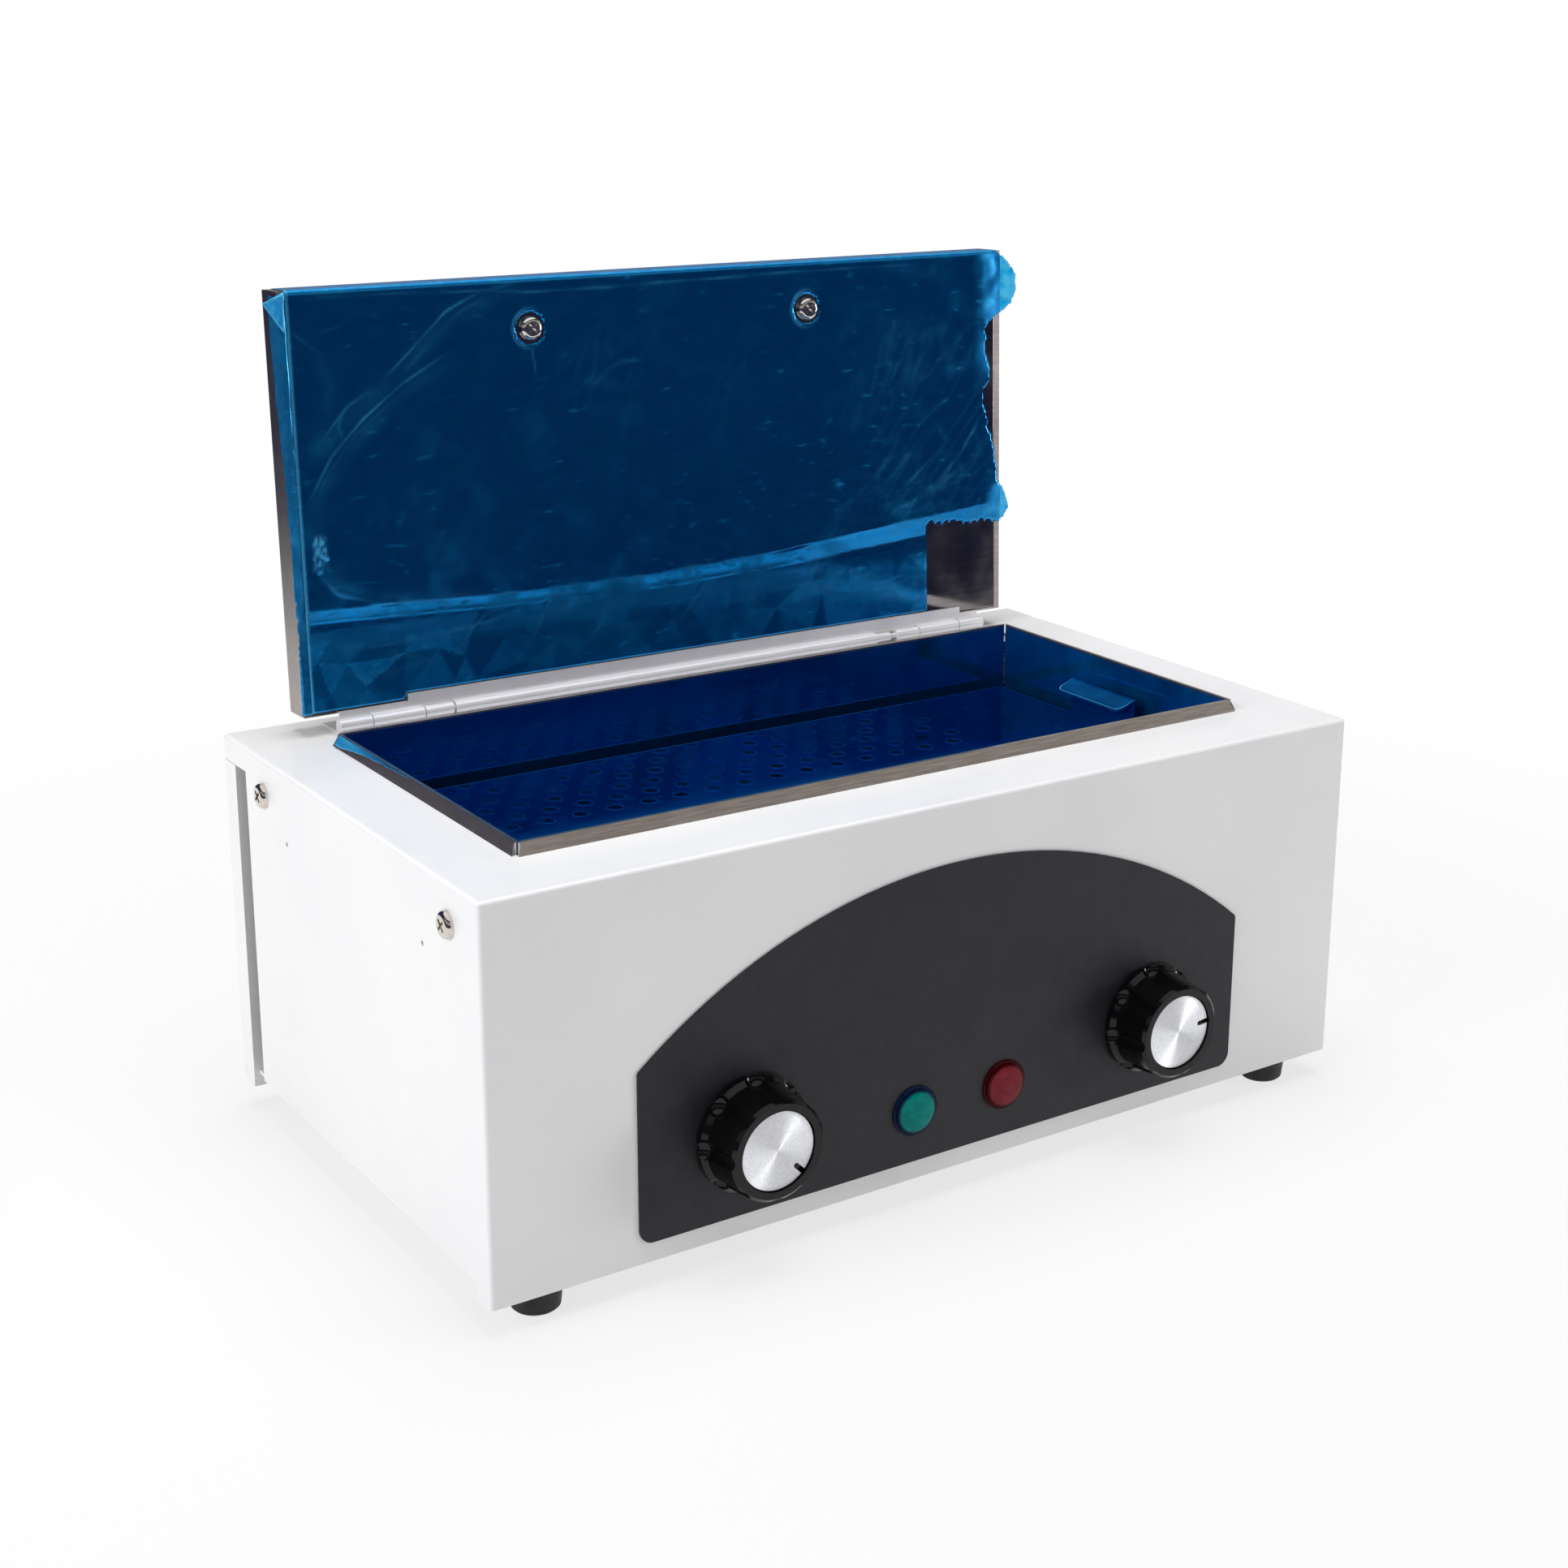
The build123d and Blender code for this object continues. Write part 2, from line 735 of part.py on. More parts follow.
def control_body(x, width, deep):
    """The works behind a knob, with the threaded bushing that comes out through the panel."""
    behind = front + sheet
    half = width / 2
    body = block(x - half, x + half, behind, behind + deep, control_height - half, control_height + half)
    body = fillet(body.edges().filter_by(Axis.Y), works_round)
    body += rod_y(x, front - bushing_l, behind + 1, control_height, bushing_r)
    return body - rod_y(x, front - bushing_l - 1, behind + bushing_bore, control_height, shaft_r + shaft_fit)


save("thermostat_body", control_body(-control_x, thermostat_w, thermostat_deep))
save("timer_body", control_body(control_x, timer_w, timer_deep))
nut_y = front - panel_t
facing = Rot(90, 0, 0)
control_nuts = []
for x in (-control_x, control_x):
    nut = hex_nut(control_nut_w, control_nut_h, bushing_r + thread_clear)
    control_nuts.append(Pos(x, nut_y, control_height) * facing * nut)
save("control_nuts", *control_nuts)

# Dark front panel: a flat sheet with an arched top
arc_z = sill + panel_side - math.sqrt(panel_arc_r**2 - panel_half**2)
apex_z = arc_z + panel_arc_r
outline = [
    Line((-panel_half, sill + panel_side), (-panel_half, sill + panel_low)),
    Line((-panel_half, sill + panel_low), (panel_half, sill + panel_low)),
    Line((panel_half, sill + panel_low), (panel_half, sill + panel_side)),
    ThreePointArc((panel_half, sill + panel_side), (0, apex_z), (-panel_half, sill + panel_side)),
]
panel_face = make_face(Curve() + outline)
panel_corners = panel_face.vertices().sort_by(Axis.Y)
panel_face = fillet(panel_corners[:2], panel_low_r)
panel_face = fillet(panel_face.vertices().sort_by(Axis.Y)[-2:], panel_high_r)
panel = Pos(0, front, 0) * facing * extrude(panel_face, panel_t)
for side in (-1, 1):
    panel -= rod_y(side * control_x, front - 2, front + 1, control_height, bushing_r + bushing_gap)
    panel -= rod_y(side * lamp_x, front - 2, front + 1, lamp_height, lamp_hole_r)
save("control_panel", panel)


def control_knob(x, pointer):
    """A fluted knob, its bright disc with a pointer notch, and its shaft, before placing."""
    place = Pos(x, front, control_height) * facing * Rot(0, 0, pointer)
    rear_z = panel_t + knob_clear
    skirt_z = rear_z + knob_skirt_t
    knob = turned(
        [
            (0, rear_z), (knob_skirt_r, rear_z), (knob_skirt_r, skirt_z),
            (knob_rear_r, skirt_z + skirt_slope), (knob_front_r, knob_proud - knob_edge),
            (knob_front_r - knob_edge, knob_proud), (0, knob_proud),
        ]
    )
    disc_front = knob_proud - disc_sink
    knob -= rod_z(0, 0, disc_front - disc_t, knob_proud + 1, disc_r + disc_gap)
    knob -= rod_z(0, 0, 0, knob_hollow, knob_hollow_r)
    flute_end = skirt_z + flute_step + flute_soft
    flute = rod_z(flute_out, 0, flute_end, knob_proud + 1, flute_r)
    flute += Pos(flute_out, 0, flute_end) * Sphere(flute_r)
    for i in range(flutes):
        knob -= Rot(0, 0, i * 360 / flutes) * flute
    shaft = rod_z(0, 0, -sheet - shaft_deep, knob_proud - shaft_short, shaft_r)
    shaft -= block(-shaft_r, shaft_r, shaft_flat, shaft_r + 1, knob_hollow, knob_proud)
    knob -= shaft
    disc = rod_z(0, 0, disc_front - disc_t, disc_front, disc_r)
    disc -= block(disc_r - notch_l, disc_r + 1, -notch_w / 2, notch_w / 2, 0, knob_proud)
    disc -= rod_z(disc_r - notch_l, 0, 0, knob_proud, notch_w / 2)
    return place * knob, place * disc, place * shaft


for name, x, pointer in (("thermostat", -control_x, thermostat_pointer), ("timer", control_x, timer_pointer)):
    knob, disc, shaft = control_knob(x, pointer)
    save(f"{name}_knob", knob)
    save(f"{name}_disc", disc)
    save(f"{name}_shaft", shaft)

# Pilot lamps: a domed lens, a ring nut behind the front and a lamp body
lamp_nuts = []
lamp_bodies = []
lamp_back = lamp_stem_l + lamp_body_l
rim_z = panel_t + lamp_rim
dome_z = rim_z + lamp_crown
for name, x in (("green_lens", -lamp_x), ("red_lens", lamp_x)):
    place = Pos(x, front, lamp_height) * facing
    ball_r = (lamp_crown_r**2 + lamp_dome**2) / (2 * lamp_dome)
    ball = Pos(0, 0, dome_z + lamp_dome - ball_r) * Sphere(ball_r)
    crown = rod_z(0, 0, panel_t, dome_z + lamp_dome + 1, lamp_crown_r) & ball
    collar = rod_z(0, 0, panel_t, rim_z, lamp_r)
    collar = chamfer(collar.edges().group_by(Axis.Z)[-1], lamp_rim_edge)
    lens = collar + crown + rod_z(0, 0, -lamp_stem_l, panel_t + 0.2, lamp_stem_r)
    save(name, place * lens)
    nut = rod_z(0, 0, -sheet - lamp_nut_t, -sheet, lamp_nut_r)
    nut -= rod_z(0, 0, -sheet - lamp_nut_t - 1, 0, lamp_stem_r + hole_clear)
    lamp_nuts.append(place * nut)
    body = rod_z(0, 0, -lamp_back, -lamp_stem_l, lamp_body_r)
    for tab_x in (-lamp_blade_x, lamp_blade_x):
        body += block(
            tab_x - lamp_blade_w / 2, tab_x + lamp_blade_w / 2, -blade_t / 2, blade_t / 2,
            -lamp_back - blade_l, -lamp_back + 1,
        )
    lamp_bodies.append(place * body)
save("lamp_nuts", *lamp_nuts)
save("lamp_bodies", *lamp_bodies)

# Power inlet: housing, three pins and two screws
inlet = block(
    inlet_x - inlet_flange_w / 2, inlet_x + inlet_flange_w / 2, back, back + inlet_flange_t,
    inlet_height - inlet_flange_h / 2, inlet_height + inlet_flange_h / 2,
)
inlet = fillet(inlet.edges().filter_by(Axis.Y), inlet_corner_r)
inlet = fillet(inlet.edges().group_by(Axis.Y)[-1], inlet_edge_r)
inlet += block(
    inlet_x - inlet_w / 2, inlet_x + inlet_w / 2, back - inlet_deep, back + 0.5,
    inlet_height - inlet_h / 2, inlet_height + inlet_h / 2,
)
socket = block(
    inlet_x - socket_w / 2, inlet_x + socket_w / 2, back - socket_deep, back + inlet_flange_t + 1,
    inlet_height - socket_h / 2, inlet_height + socket_h / 2,
)
socket_top = socket.edges().filter_by(Axis.Y).group_by(Axis.Z)[-1]
inlet -= chamfer(socket_top, socket_cut)
pins = []
inlet_pin_places = [(-blade_x, blade_low), (0.0, blade_high), (blade_x, blade_low)]
pin_back = back - inlet_deep - inlet_pin_tail
for dx, dz in inlet_pin_places:
    x = inlet_x + dx
    z = inlet_height + dz
    pin = block(
        x - inlet_pin_w / 2, x + inlet_pin_w / 2, pin_back, back - inlet_pin_inset,
        z - inlet_pin_h / 2, z + inlet_pin_h / 2,
    )
    inlet -= pin
    pins.append(pin)
inlet_screws = []
for side in (-1, 1):
    x = inlet_x + side * inlet_screw_x
    inlet -= rod_y(x, back - 1, back + inlet_flange_t + 1, inlet_height, screw_r + hole_clear)
    screw = pan_screw(inlet_head_r, inlet_head_h, screw_r, inlet_screw_l)
    inlet_screws.append(Pos(x, back + inlet_flange_t, inlet_height) * Rot(-90, 0, 0) * screw)
save("power_inlet", inlet)
save("inlet_pins", *pins)
save("inlet_screws", *inlet_screws)

# Terminal block on the base plate, with the wires between it and each device
terminal_top = base_top + terminal_h
terminal = block(-terminal_w / 2, terminal_w / 2, mid, mid + terminal_d, base_top, terminal_top)
groove_half = terminal_groove_w / 2
for i in range(1, terminal_ways):
    x = -terminal_w / 2 + i * terminal_w / terminal_ways
    terminal -= block(
        x - groove_half, x + groove_half, mid - 1, mid + terminal_d + 1,
        terminal_top - terminal_groove_h, terminal_top + 1,
    )
save("terminal_block", terminal)
wire_z = base_top + wire_rise
rear_face = mid + terminal_d
mains_y = [mid + mains_near, mid + mains_far]
mains_x = [inlet_x + blade_x, inlet_x - blade_x]
mains_end = [outer_way, inner_way]
wires = []
for y, x, end_x in zip(mains_y, mains_x, mains_end):
    z = inlet_height + blade_low
    run = [(x, pin_back, z), (x, y, z), (end_x, y, wire_z), (end_x, rear_face, wire_z)]
    wires.append(tube(run, wire_r, mains_bend))
earth_x = inlet_x + earth_out
earth_y = pin_back - earth_back
earth_z = inlet_height + blade_high
earth_top = base_top + earth_h
earth_run = [
    (inlet_x, pin_back, earth_z), (inlet_x, earth_y, earth_z), (earth_x, earth_y, earth_z),
    (earth_x, earth_y, earth_top),
]
wires.append(tube(earth_run, wire_r, short_bend))
save("earth_stud", rod_z(earth_x, earth_y, base_top, earth_top, m4_r))
timer_back = front + sheet + timer_deep
thermostat_back = front + sheet + thermostat_deep
lamp_rear = front + lamp_back + blade_l
lead_z = control_height + lead_up
device_leads = [
    (control_x, timer_back, lead_z, outer_way), (-control_x, thermostat_back, lead_z, -outer_way),
    (-lamp_x - lamp_blade_x, lamp_rear, lamp_height, -inner_way),
    (lamp_x + lamp_blade_x, lamp_rear, lamp_height, inner_way),
]
for x, y, z, end_x in device_leads:
    run = [(x, y, z), (x, y + lead_out, z), (end_x, mid - lead_in, wire_z), (end_x, mid, wire_z)]
    wires.append(tube(run, wire_r, wire_bend))
for x in (-heater_lead_x, heater_lead_x):
    wires.append(rod_z(x, mid + terminal_d / 2, terminal_top, heater_low, wire_r))
cutout_run_y = cutout_end + cutout_lead
for x in cutout_blade_x:
    run = [
        (x, cutout_end, cutout_z), (x, cutout_run_y, cutout_z), (x, cutout_run_y, wire_z),
        (x, rear_face, wire_z),
    ]
    wires.append(tube(run, wire_r, short_bend))
save("wiring", *wires)

# Fixed hinge leaves on the case top, and the hinge pins
outer_in = hinge_half - knuckle_outer
mid_out = outer_in - leaf_clear
mid_in = mid_out - knuckle_mid
inner_out = mid_in - leaf_clear
inner_in = inner_out - knuckle_inner


def span(side, near, far):
    """Low and high X of a stretch on one side of the middle."""
    return (near, far) if side > 0 else (-far, -near)


fixed_leaves = []
hinge_pins = []
for side in (-1, 1):
    x0, x1 = span(side, inner_in, hinge_half)
    leaf = block(x0, x1, hinge_y + leaf_clear, hinge_y + leaf_deep, top, top + leaf_t)
    for near, far in ((outer_in, hinge_half), (inner_in, inner_out)):
        a, b = span(side, near, far)
        leaf += rod_x(a, b, hinge_y, hinge_z, knuckle_r)
        leaf += block(a, b, hinge_y + knuckle_r - leaf_t, hinge_y + knuckle_r, top, hinge_z)
        leaf -= rod_x(a - 0.01, b + 0.01, hinge_y, hinge_z, pin_r + thread_clear)
    fixed_leaves.append(leaf)
pin_left_end = bead_left + pin_reach
pin_right_end = bead_right - pin_reach
pin_end = hinge_half + pin_over
hinge_pins.append(rod_x(-pin_end, pin_left_end, hinge_y, hinge_z, pin_r))
hinge_pins.append(rod_x(pin_right_end, pin_end, hinge_y, hinge_z, pin_r))
save("hinge_fixed_leaves", *fixed_leaves)
save("hinge_pins", *hinge_pins)


def lid_block(x0, x1, u0, u1, v0, v1):
    """A box in the lid's frame, before the lid is stood up at its hinge."""
    return block(x0, x1, v0, v1, u0, u1)


# Moving hinge leaf: two knuckles and a long rolled bead, with a strip on the lid's inner face
leaf_v = plate_v - leaf_t
strip_low = knuckle_r + strip_gap
moving = lid_block(-hinge_half + leaf_in, hinge_half - leaf_in, strip_low, leaf_step, leaf_v, plate_v)
moving += lid_block(strip_left, strip_right, strip_low, leaf_high, leaf_v, plate_v)
moving_spans = [(-mid_out, -mid_in), (bead_left, bead_right - crimp_l), (mid_in, mid_out)]
for a, b in moving_spans:
    moving += rod_x(a, b, 0, 0, knuckle_r)
    moving += lid_block(a, b, 0, leaf_step, leaf_v, plate_v)
moving += rod_x(bead_right - crimp_l - 1, bead_right, 0, 0, crimp_r)
bore_r = pin_r + pin_fit
moving -= rod_x(-hinge_half, pin_left_end + 1.0, 0, 0, bore_r)
moving -= rod_x(pin_right_end - 1.0, hinge_half, 0, 0, bore_r)
save("hinge_moving_leaf", lid_place * moving)

# Lid: an outer pan with narrow side lips, an inner plate set flush, and felt between them
shell = lid_block(-lid_half, lid_half, lid_low, lid_high, lid_face_v, lid_outer_v)
shell_edges = shell.edges().group_by(Axis.Y)[-1]
shell = fillet(shell_edges, shell_round)
inner_half = lid_half - lid_t
shell -= lid_block(
    -inner_half, inner_half, lid_low + lid_t, lid_high - lid_t, lid_face_v + lid_t, lid_outer_v - lid_t,
)
mouth_half = lid_half - lid_lip
shell -= lid_block(
    -mouth_half, mouth_half, lid_low + lid_t, lid_high - lid_t, lid_face_v - 1, lid_face_v + 2 * lid_t,
)
plate_half = mouth_half - plate_gap
plate_low = lid_low + lid_t + plate_gap
plate_high = lid_high - lid_t - plate_gap
plate = lid_block(-plate_half, plate_half, plate_low, plate_high, plate_v, plate_v + plate_fold)
plate = fillet(plate.edges().group_by(Axis.Y)[0], plate_round)
plate -= lid_block(
    -plate_half + plate_t, plate_half - plate_t, plate_low + plate_t, plate_high - plate_t,
    plate_v + plate_t, plate_v + plate_fold + 1,
)
felt_half = plate_half - plate_t - felt_gap
felt = lid_block(
    -felt_half, felt_half, plate_low + plate_t + felt_gap, plate_high - plate_t - felt_gap,
    plate_v + plate_t + hole_clear, lid_outer_v - lid_t - hole_clear,
)
handle_screws = []
handle_shank_l = lid_outer_v - plate_v + handle_bite
outward = Rot(90, 0, 0)
for x in (-handle_screw_x, handle_screw_x):
    shell -= rod_y(x, lid_outer_v - 2, lid_outer_v + 1, handle_u, m4_r + hole_clear)
    plate -= rod_y(x, plate_v - 1, plate_v + 2, handle_u, m4_r + hole_clear)
    felt -= rod_y(x, plate_v, lid_outer_v, handle_u, felt_hole_r)
    screw = Pos(x, plate_v, handle_u) * outward * pan_screw(lid_head_r, lid_head_h, m4_r, handle_shank_l)
    handle_screws.append(lid_place * screw)
save("lid_shell", lid_place * shell)
save("lid_inner_plate", lid_place * plate)
save("lid_insulation", lid_place * felt)
save("lid_handle_screws", *handle_screws)

# Lid handle: a moulded bow on the outside of the lid
foot_out = handle_screw_x + handle_foot / 2
foot_in = handle_screw_x - handle_foot / 2
slope_x = foot_out - handle_slope
corner_x = foot_out - handle_corner
grip_x = foot_in - handle_inner_slope
shoulder_y = handle_h - handle_shoulder
grip_y = handle_h - handle_bar
bow = Polyline(
    (-foot_out, 0), (-slope_x, shoulder_y), (-corner_x, handle_h), (corner_x, handle_h),
    (slope_x, shoulder_y), (foot_out, 0), (foot_in, 0), (grip_x, grip_y), (-grip_x, grip_y), (-foot_in, 0),
    close=True,
)
handle = extrude(make_face(bow), handle_w)
soft_edges = handle.edges().filter_by(lambda e: e.center().Y > 0.5)
handle = fillet(soft_edges, handle_soft)
handle = Pos(0, lid_outer_v, handle_u - handle_w / 2) * handle
for x in (-handle_screw_x, handle_screw_x):
    handle -= rod_y(x, lid_outer_v - 1, lid_outer_v + handle_bite, handle_u, m4_r)
save("lid_handle", lid_place * handle)

# Protective film: on the lid's inner face, folded over its top and its left side
film_low = leaf_high + strip_gap
film_right = mouth_half - film_bare
film_back_v = plate_v - film_off
film_face_v = film_back_v - film_t
film_roof = lid_high + film_off
film = lid_block(-mouth_half, film_right, film_low, film_roof + film_t, film_face_v, film_back_v)
film += lid_block(
    -mouth_half, film_right, film_roof, film_roof + film_t, film_face_v, film_face_v + film_fold,
)
for x in (-handle_screw_x, handle_screw_x):
    film -= rod_y(x, plate_v - 2, plate_v + 1, handle_u, film_hole_r)
save("lid_film", lid_place * film)

# Tray: a perforated pan on four short feet, with a turned-in lifting tab at each end
tray_rim = tray_low + tray_h
tray = block(-tray_x, tray_x, chamber_y - tray_half_d, chamber_y + tray_half_d, tray_low, tray_rim)
tray -= block(
    -tray_x + tray_t, tray_x - tray_t, chamber_y - tray_half_d + tray_t, chamber_y + tray_half_d - tray_t,
    tray_low + tray_t, tray_rim + 1,
)
columns = int(2 * (tray_x - tray_margin) / tray_pitch_x)
rows = int(2 * (tray_half_d - tray_margin) / tray_pitch_y)
holes = Sketch()
for row in range(rows + 1):
    shift = tray_pitch_x / 2 if row % 2 else 0.0
    y = (row - rows / 2) * tray_pitch_y
    for column in range(columns + 1 - row % 2):
        x = (column - columns / 2) * tray_pitch_x + shift
        holes += Pos(x, y) * Circle(tray_hole_r)
tray -= Pos(0, chamber_y, tray_low - 1) * extrude(holes, tray_t + 2)
for sx in (-1, 1):
    for sy in (-1, 1):
        x = sx * (tray_x - tray_foot_in)
        y = chamber_y + sy * (tray_half_d - tray_foot_in)
        tray += rod_z(x, y, tray_low - tray_foot_h, tray_low + tray_t / 2, tray_foot_r)
tab_top = tray_rim + tab_rise
tab_mid = chamber_y + tab_y
for side in (-1, 1):
    outer = side * tray_x
    inner = side * (tray_x - tray_t)
    tab = block(
        min(outer, inner), max(outer, inner), tab_mid - tab_w / 2, tab_mid + tab_w / 2, tray_rim - 1, tab_top,
    )
    lip_end = side * (tray_x - tab_lip)
    lip_line = Polyline(
        (outer, tab_top), (lip_end, tab_top - tab_lip_drop), (lip_end, tab_top - tab_lip_drop - tray_t),
        (outer, tab_top - tray_t), close=True,
    )
    lip = extrude(make_face(lip_line), tab_w / 2, both=True)
    lip = Pos(0, tab_mid, 0) * Rot(90, 0, 0) * lip
    plan_x = lip_end + side * tab_lip
    plan = Pos(plan_x, tab_mid, tray_rim) * RectangleRounded(2 * tab_lip, tab_w, tab_corner_r)
    lip = lip & extrude(plan, 2 * tab_rise)
    tray += tab + lip
save("tray_pan", tray)
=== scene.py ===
"""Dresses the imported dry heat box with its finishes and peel-off film, and sets its light and camera."""
import json
import math

import bpy
import numpy as np
from mathutils import Matrix, Vector, geometry, noise


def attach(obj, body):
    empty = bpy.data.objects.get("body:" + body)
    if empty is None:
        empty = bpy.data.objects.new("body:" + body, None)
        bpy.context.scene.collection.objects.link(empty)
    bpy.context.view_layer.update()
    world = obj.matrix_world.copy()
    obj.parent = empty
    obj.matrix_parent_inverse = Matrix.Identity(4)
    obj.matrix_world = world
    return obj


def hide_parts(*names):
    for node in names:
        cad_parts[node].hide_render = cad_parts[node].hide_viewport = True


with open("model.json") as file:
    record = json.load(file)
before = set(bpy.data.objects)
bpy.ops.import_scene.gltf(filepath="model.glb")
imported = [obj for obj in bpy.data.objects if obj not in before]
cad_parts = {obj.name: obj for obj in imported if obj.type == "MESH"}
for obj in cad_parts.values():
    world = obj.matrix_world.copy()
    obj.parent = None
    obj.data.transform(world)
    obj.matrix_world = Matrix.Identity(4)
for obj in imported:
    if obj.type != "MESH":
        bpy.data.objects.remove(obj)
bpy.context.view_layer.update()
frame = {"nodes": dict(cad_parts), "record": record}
nodes = frame["nodes"]
record = frame["record"]
MM = 0.001

# Sizes shared with the part, in millimetres
case_top = 143.0
chamber_y = -5.32
chamber_half_w = 147.5
chamber_half_d = 68.0
rim_top = 147.2
rim_crown_out = 1.2
rim_foot_out = 3.0
hinge_y = 74.68
hinge_z = 146.5
lean = math.radians(2.1)
plate_half = 152.4
plate_v = 2.1
shell_half = 155.2
lid_high = 153.8
handle_screw_x = 60.0
handle_screw_u = 135.6
control_x = 84.6
control_z = 45.8
lamp_x = 19.0
lamp_z = 36.0
tray_floor = 98.6
tray_half_w = 141.3
tray_half_d = 61.7
tray_hole_r = 3.0
tray_foot_in = 20.0
tray_foot_clear = 1.0
hole_rows = 10
hole_columns = 19
hole_pitch_x = 14.7
hole_pitch_y = 11.0
tab_y = (-28.32, 9.68)
tab_high = 136.9
tab_reach = 8.6
tab_drop = 3.0
tab_corner = 3.0


def linear(hex_value):
    """An sRGB hex colour as the linear values that a shader takes."""
    parts = [int(hex_value[i:i + 2], 16) / 255 for i in (1, 3, 5)]
    return (*[p / 12.92 if p <= 0.04045 else ((p + 0.055) / 1.055) ** 2.4 for p in parts], 1.0)


def join(tree, node, inputs):
    """Gives a node's sockets their links, or their values, where a colour is an sRGB hex value."""
    for socket, value in inputs.items():
        if isinstance(value, bpy.types.NodeSocket):
            tree.links.new(value, node.inputs[socket])
        else:
            node.inputs[socket].default_value = linear(value) if isinstance(value, str) else value


def add(tree, kind, inputs=None, out=0, **fields):
    """Adds a node with its settings, values and links, and gives back one output, or the node itself."""
    node = tree.nodes.new(kind)
    for field, value in fields.items():
        setattr(node, field, value)
    join(tree, node, inputs or {})
    return node if out is None else node.outputs[out]


# How a mix node is told to mix two colours
colour = {"out": "Result", "data_type": "RGBA"}


def finish(name, **sockets):
    """A material with one principled shader. Underscores stand for the spaces in socket names."""
    material = bpy.data.materials.new(name)
    material.use_nodes = True
    shader = material.node_tree.nodes["Principled BSDF"]
    join(material.node_tree, shader, {socket.replace("_", " "): value for socket, value in sockets.items()})
    return material, material.node_tree, shader


def place(tree, stretch=(1.0, 1.0, 1.0)):
    """The point on the object in metres, with each axis scaled for a pattern that runs one way."""
    coords = add(tree, "ShaderNodeTexCoord", None, "Object")
    return add(tree, "ShaderNodeMapping", {"Vector": coords, "Scale": stretch})


def mottle(tree, where, size, low, high, detail=3.0, near=0.35, far=0.65):
    """Soft patches of noise, low where it is under near and high where it is over far."""
    cloud = add(tree, "ShaderNodeTexNoise", {"Vector": where, "Scale": 1 / (size * MM), "Detail": detail})
    spread = {"Value": cloud, "From Min": near, "From Max": far, "To Min": low, "To Max": high}
    return add(tree, "ShaderNodeMapRange", spread)


def off_centre(tree, x, z):
    """Each point's offset and distance, in metres, from an axis that runs front to back."""
    off = add(tree, "ShaderNodeVectorMath", {0: place(tree), 1: (x * MM, 0.0, z * MM)}, operation="SUBTRACT")
    flat = add(tree, "ShaderNodeVectorMath", {0: off, 1: (1.0, 0.0, 1.0)}, operation="MULTIPLY")
    return off, add(tree, "ShaderNodeVectorMath", {0: flat}, "Value", operation="LENGTH")


def ripples(tree, across, pitch):
    """Even ridges, one each pitch in millimetres."""
    turn = add(tree, "ShaderNodeMath", {0: across, 1: 2 * math.pi / (pitch * MM)}, operation="MULTIPLY")
    return add(tree, "ShaderNodeMath", {0: turn}, operation="SINE")


def powder_coat():
    """Polyester powder coat, baked on: smooth white with a faint orange peel and a soft gloss."""
    material, tree, shader = finish("powder_coat", IOR=1.5, Coat_Weight=0.25, Coat_Roughness=0.12)
    where = place(tree)
    cloud = mottle(tree, where, 60.0, 0.0, 1.0)
    orange_peel = mottle(tree, where, 1.6, 0.0, 1.0, 2.0)
    white = {"Factor": cloud, "A": "#EFEFF1", "B": "#F3F3F4"}
    join(tree, shader, {
        "Base Color": add(tree, "ShaderNodeMix", white, **colour),
        "Roughness": mottle(tree, where, 9.0, 0.34, 0.42),
        "Normal": add(tree, "ShaderNodeBump", {"Height": orange_peel, "Distance": 0.018 * MM}),
    })
    return material


def panel_lacquer():
    """Baked satin lacquer on the front panel: near black, with a fine even tooth that greys the light."""
    material, tree, shader = finish("panel_lacquer", IOR=1.5, Specular_IOR_Level=0.3)
    where = place(tree)
    cloud = mottle(tree, where, 14.0, 0.0, 1.0)
    # The lacquer's tooth is finer than this on the real panel, and is drawn 0.7 mm wide so that it shows
    tooth = mottle(tree, where, 0.7, 0.0, 1.0, 1.0)
    black = {"Factor": cloud, "A": "#1F1D24", "B": "#232128"}
    join(tree, shader, {
        "Base Color": add(tree, "ShaderNodeMix", black, **colour),
        "Roughness": mottle(tree, where, 5.0, 0.40, 0.50),
        "Normal": add(tree, "ShaderNodeBump", {"Height": tooth, "Distance": 0.02 * MM}),
    })
    return material


def steel_sheet(name, dark, pale, rough, depth):
    """Rolled or ground steel sheet: lines along its length, and patches where hands and cloths have been."""
    material, tree, shader = finish(name, Metallic=1.0)
    # Real lines are some hundredths of a millimetre wide, and are drawn 1.2 mm wide so that they show
    lines = mottle(tree, place(tree, (0.06, 1.0, 1.0)), 1.2, 0.0, 1.0, 4.0, 0.3, 0.7)
    join(tree, shader, {
        "Base Color": add(tree, "ShaderNodeMix", {"Factor": lines, "A": dark, "B": pale}, **colour),
        "Roughness": mottle(tree, place(tree), 22.0, *rough, 4.0),
        "Normal": add(tree, "ShaderNodeBump", {"Height": lines, "Distance": depth * MM}),
    })
    return material


# How much of the steel's mirror the film shows: where it clings, hangs loose on the lid, and lifts elsewhere
clinging = 0.90
hanging = 0.50
lifting = 0.68


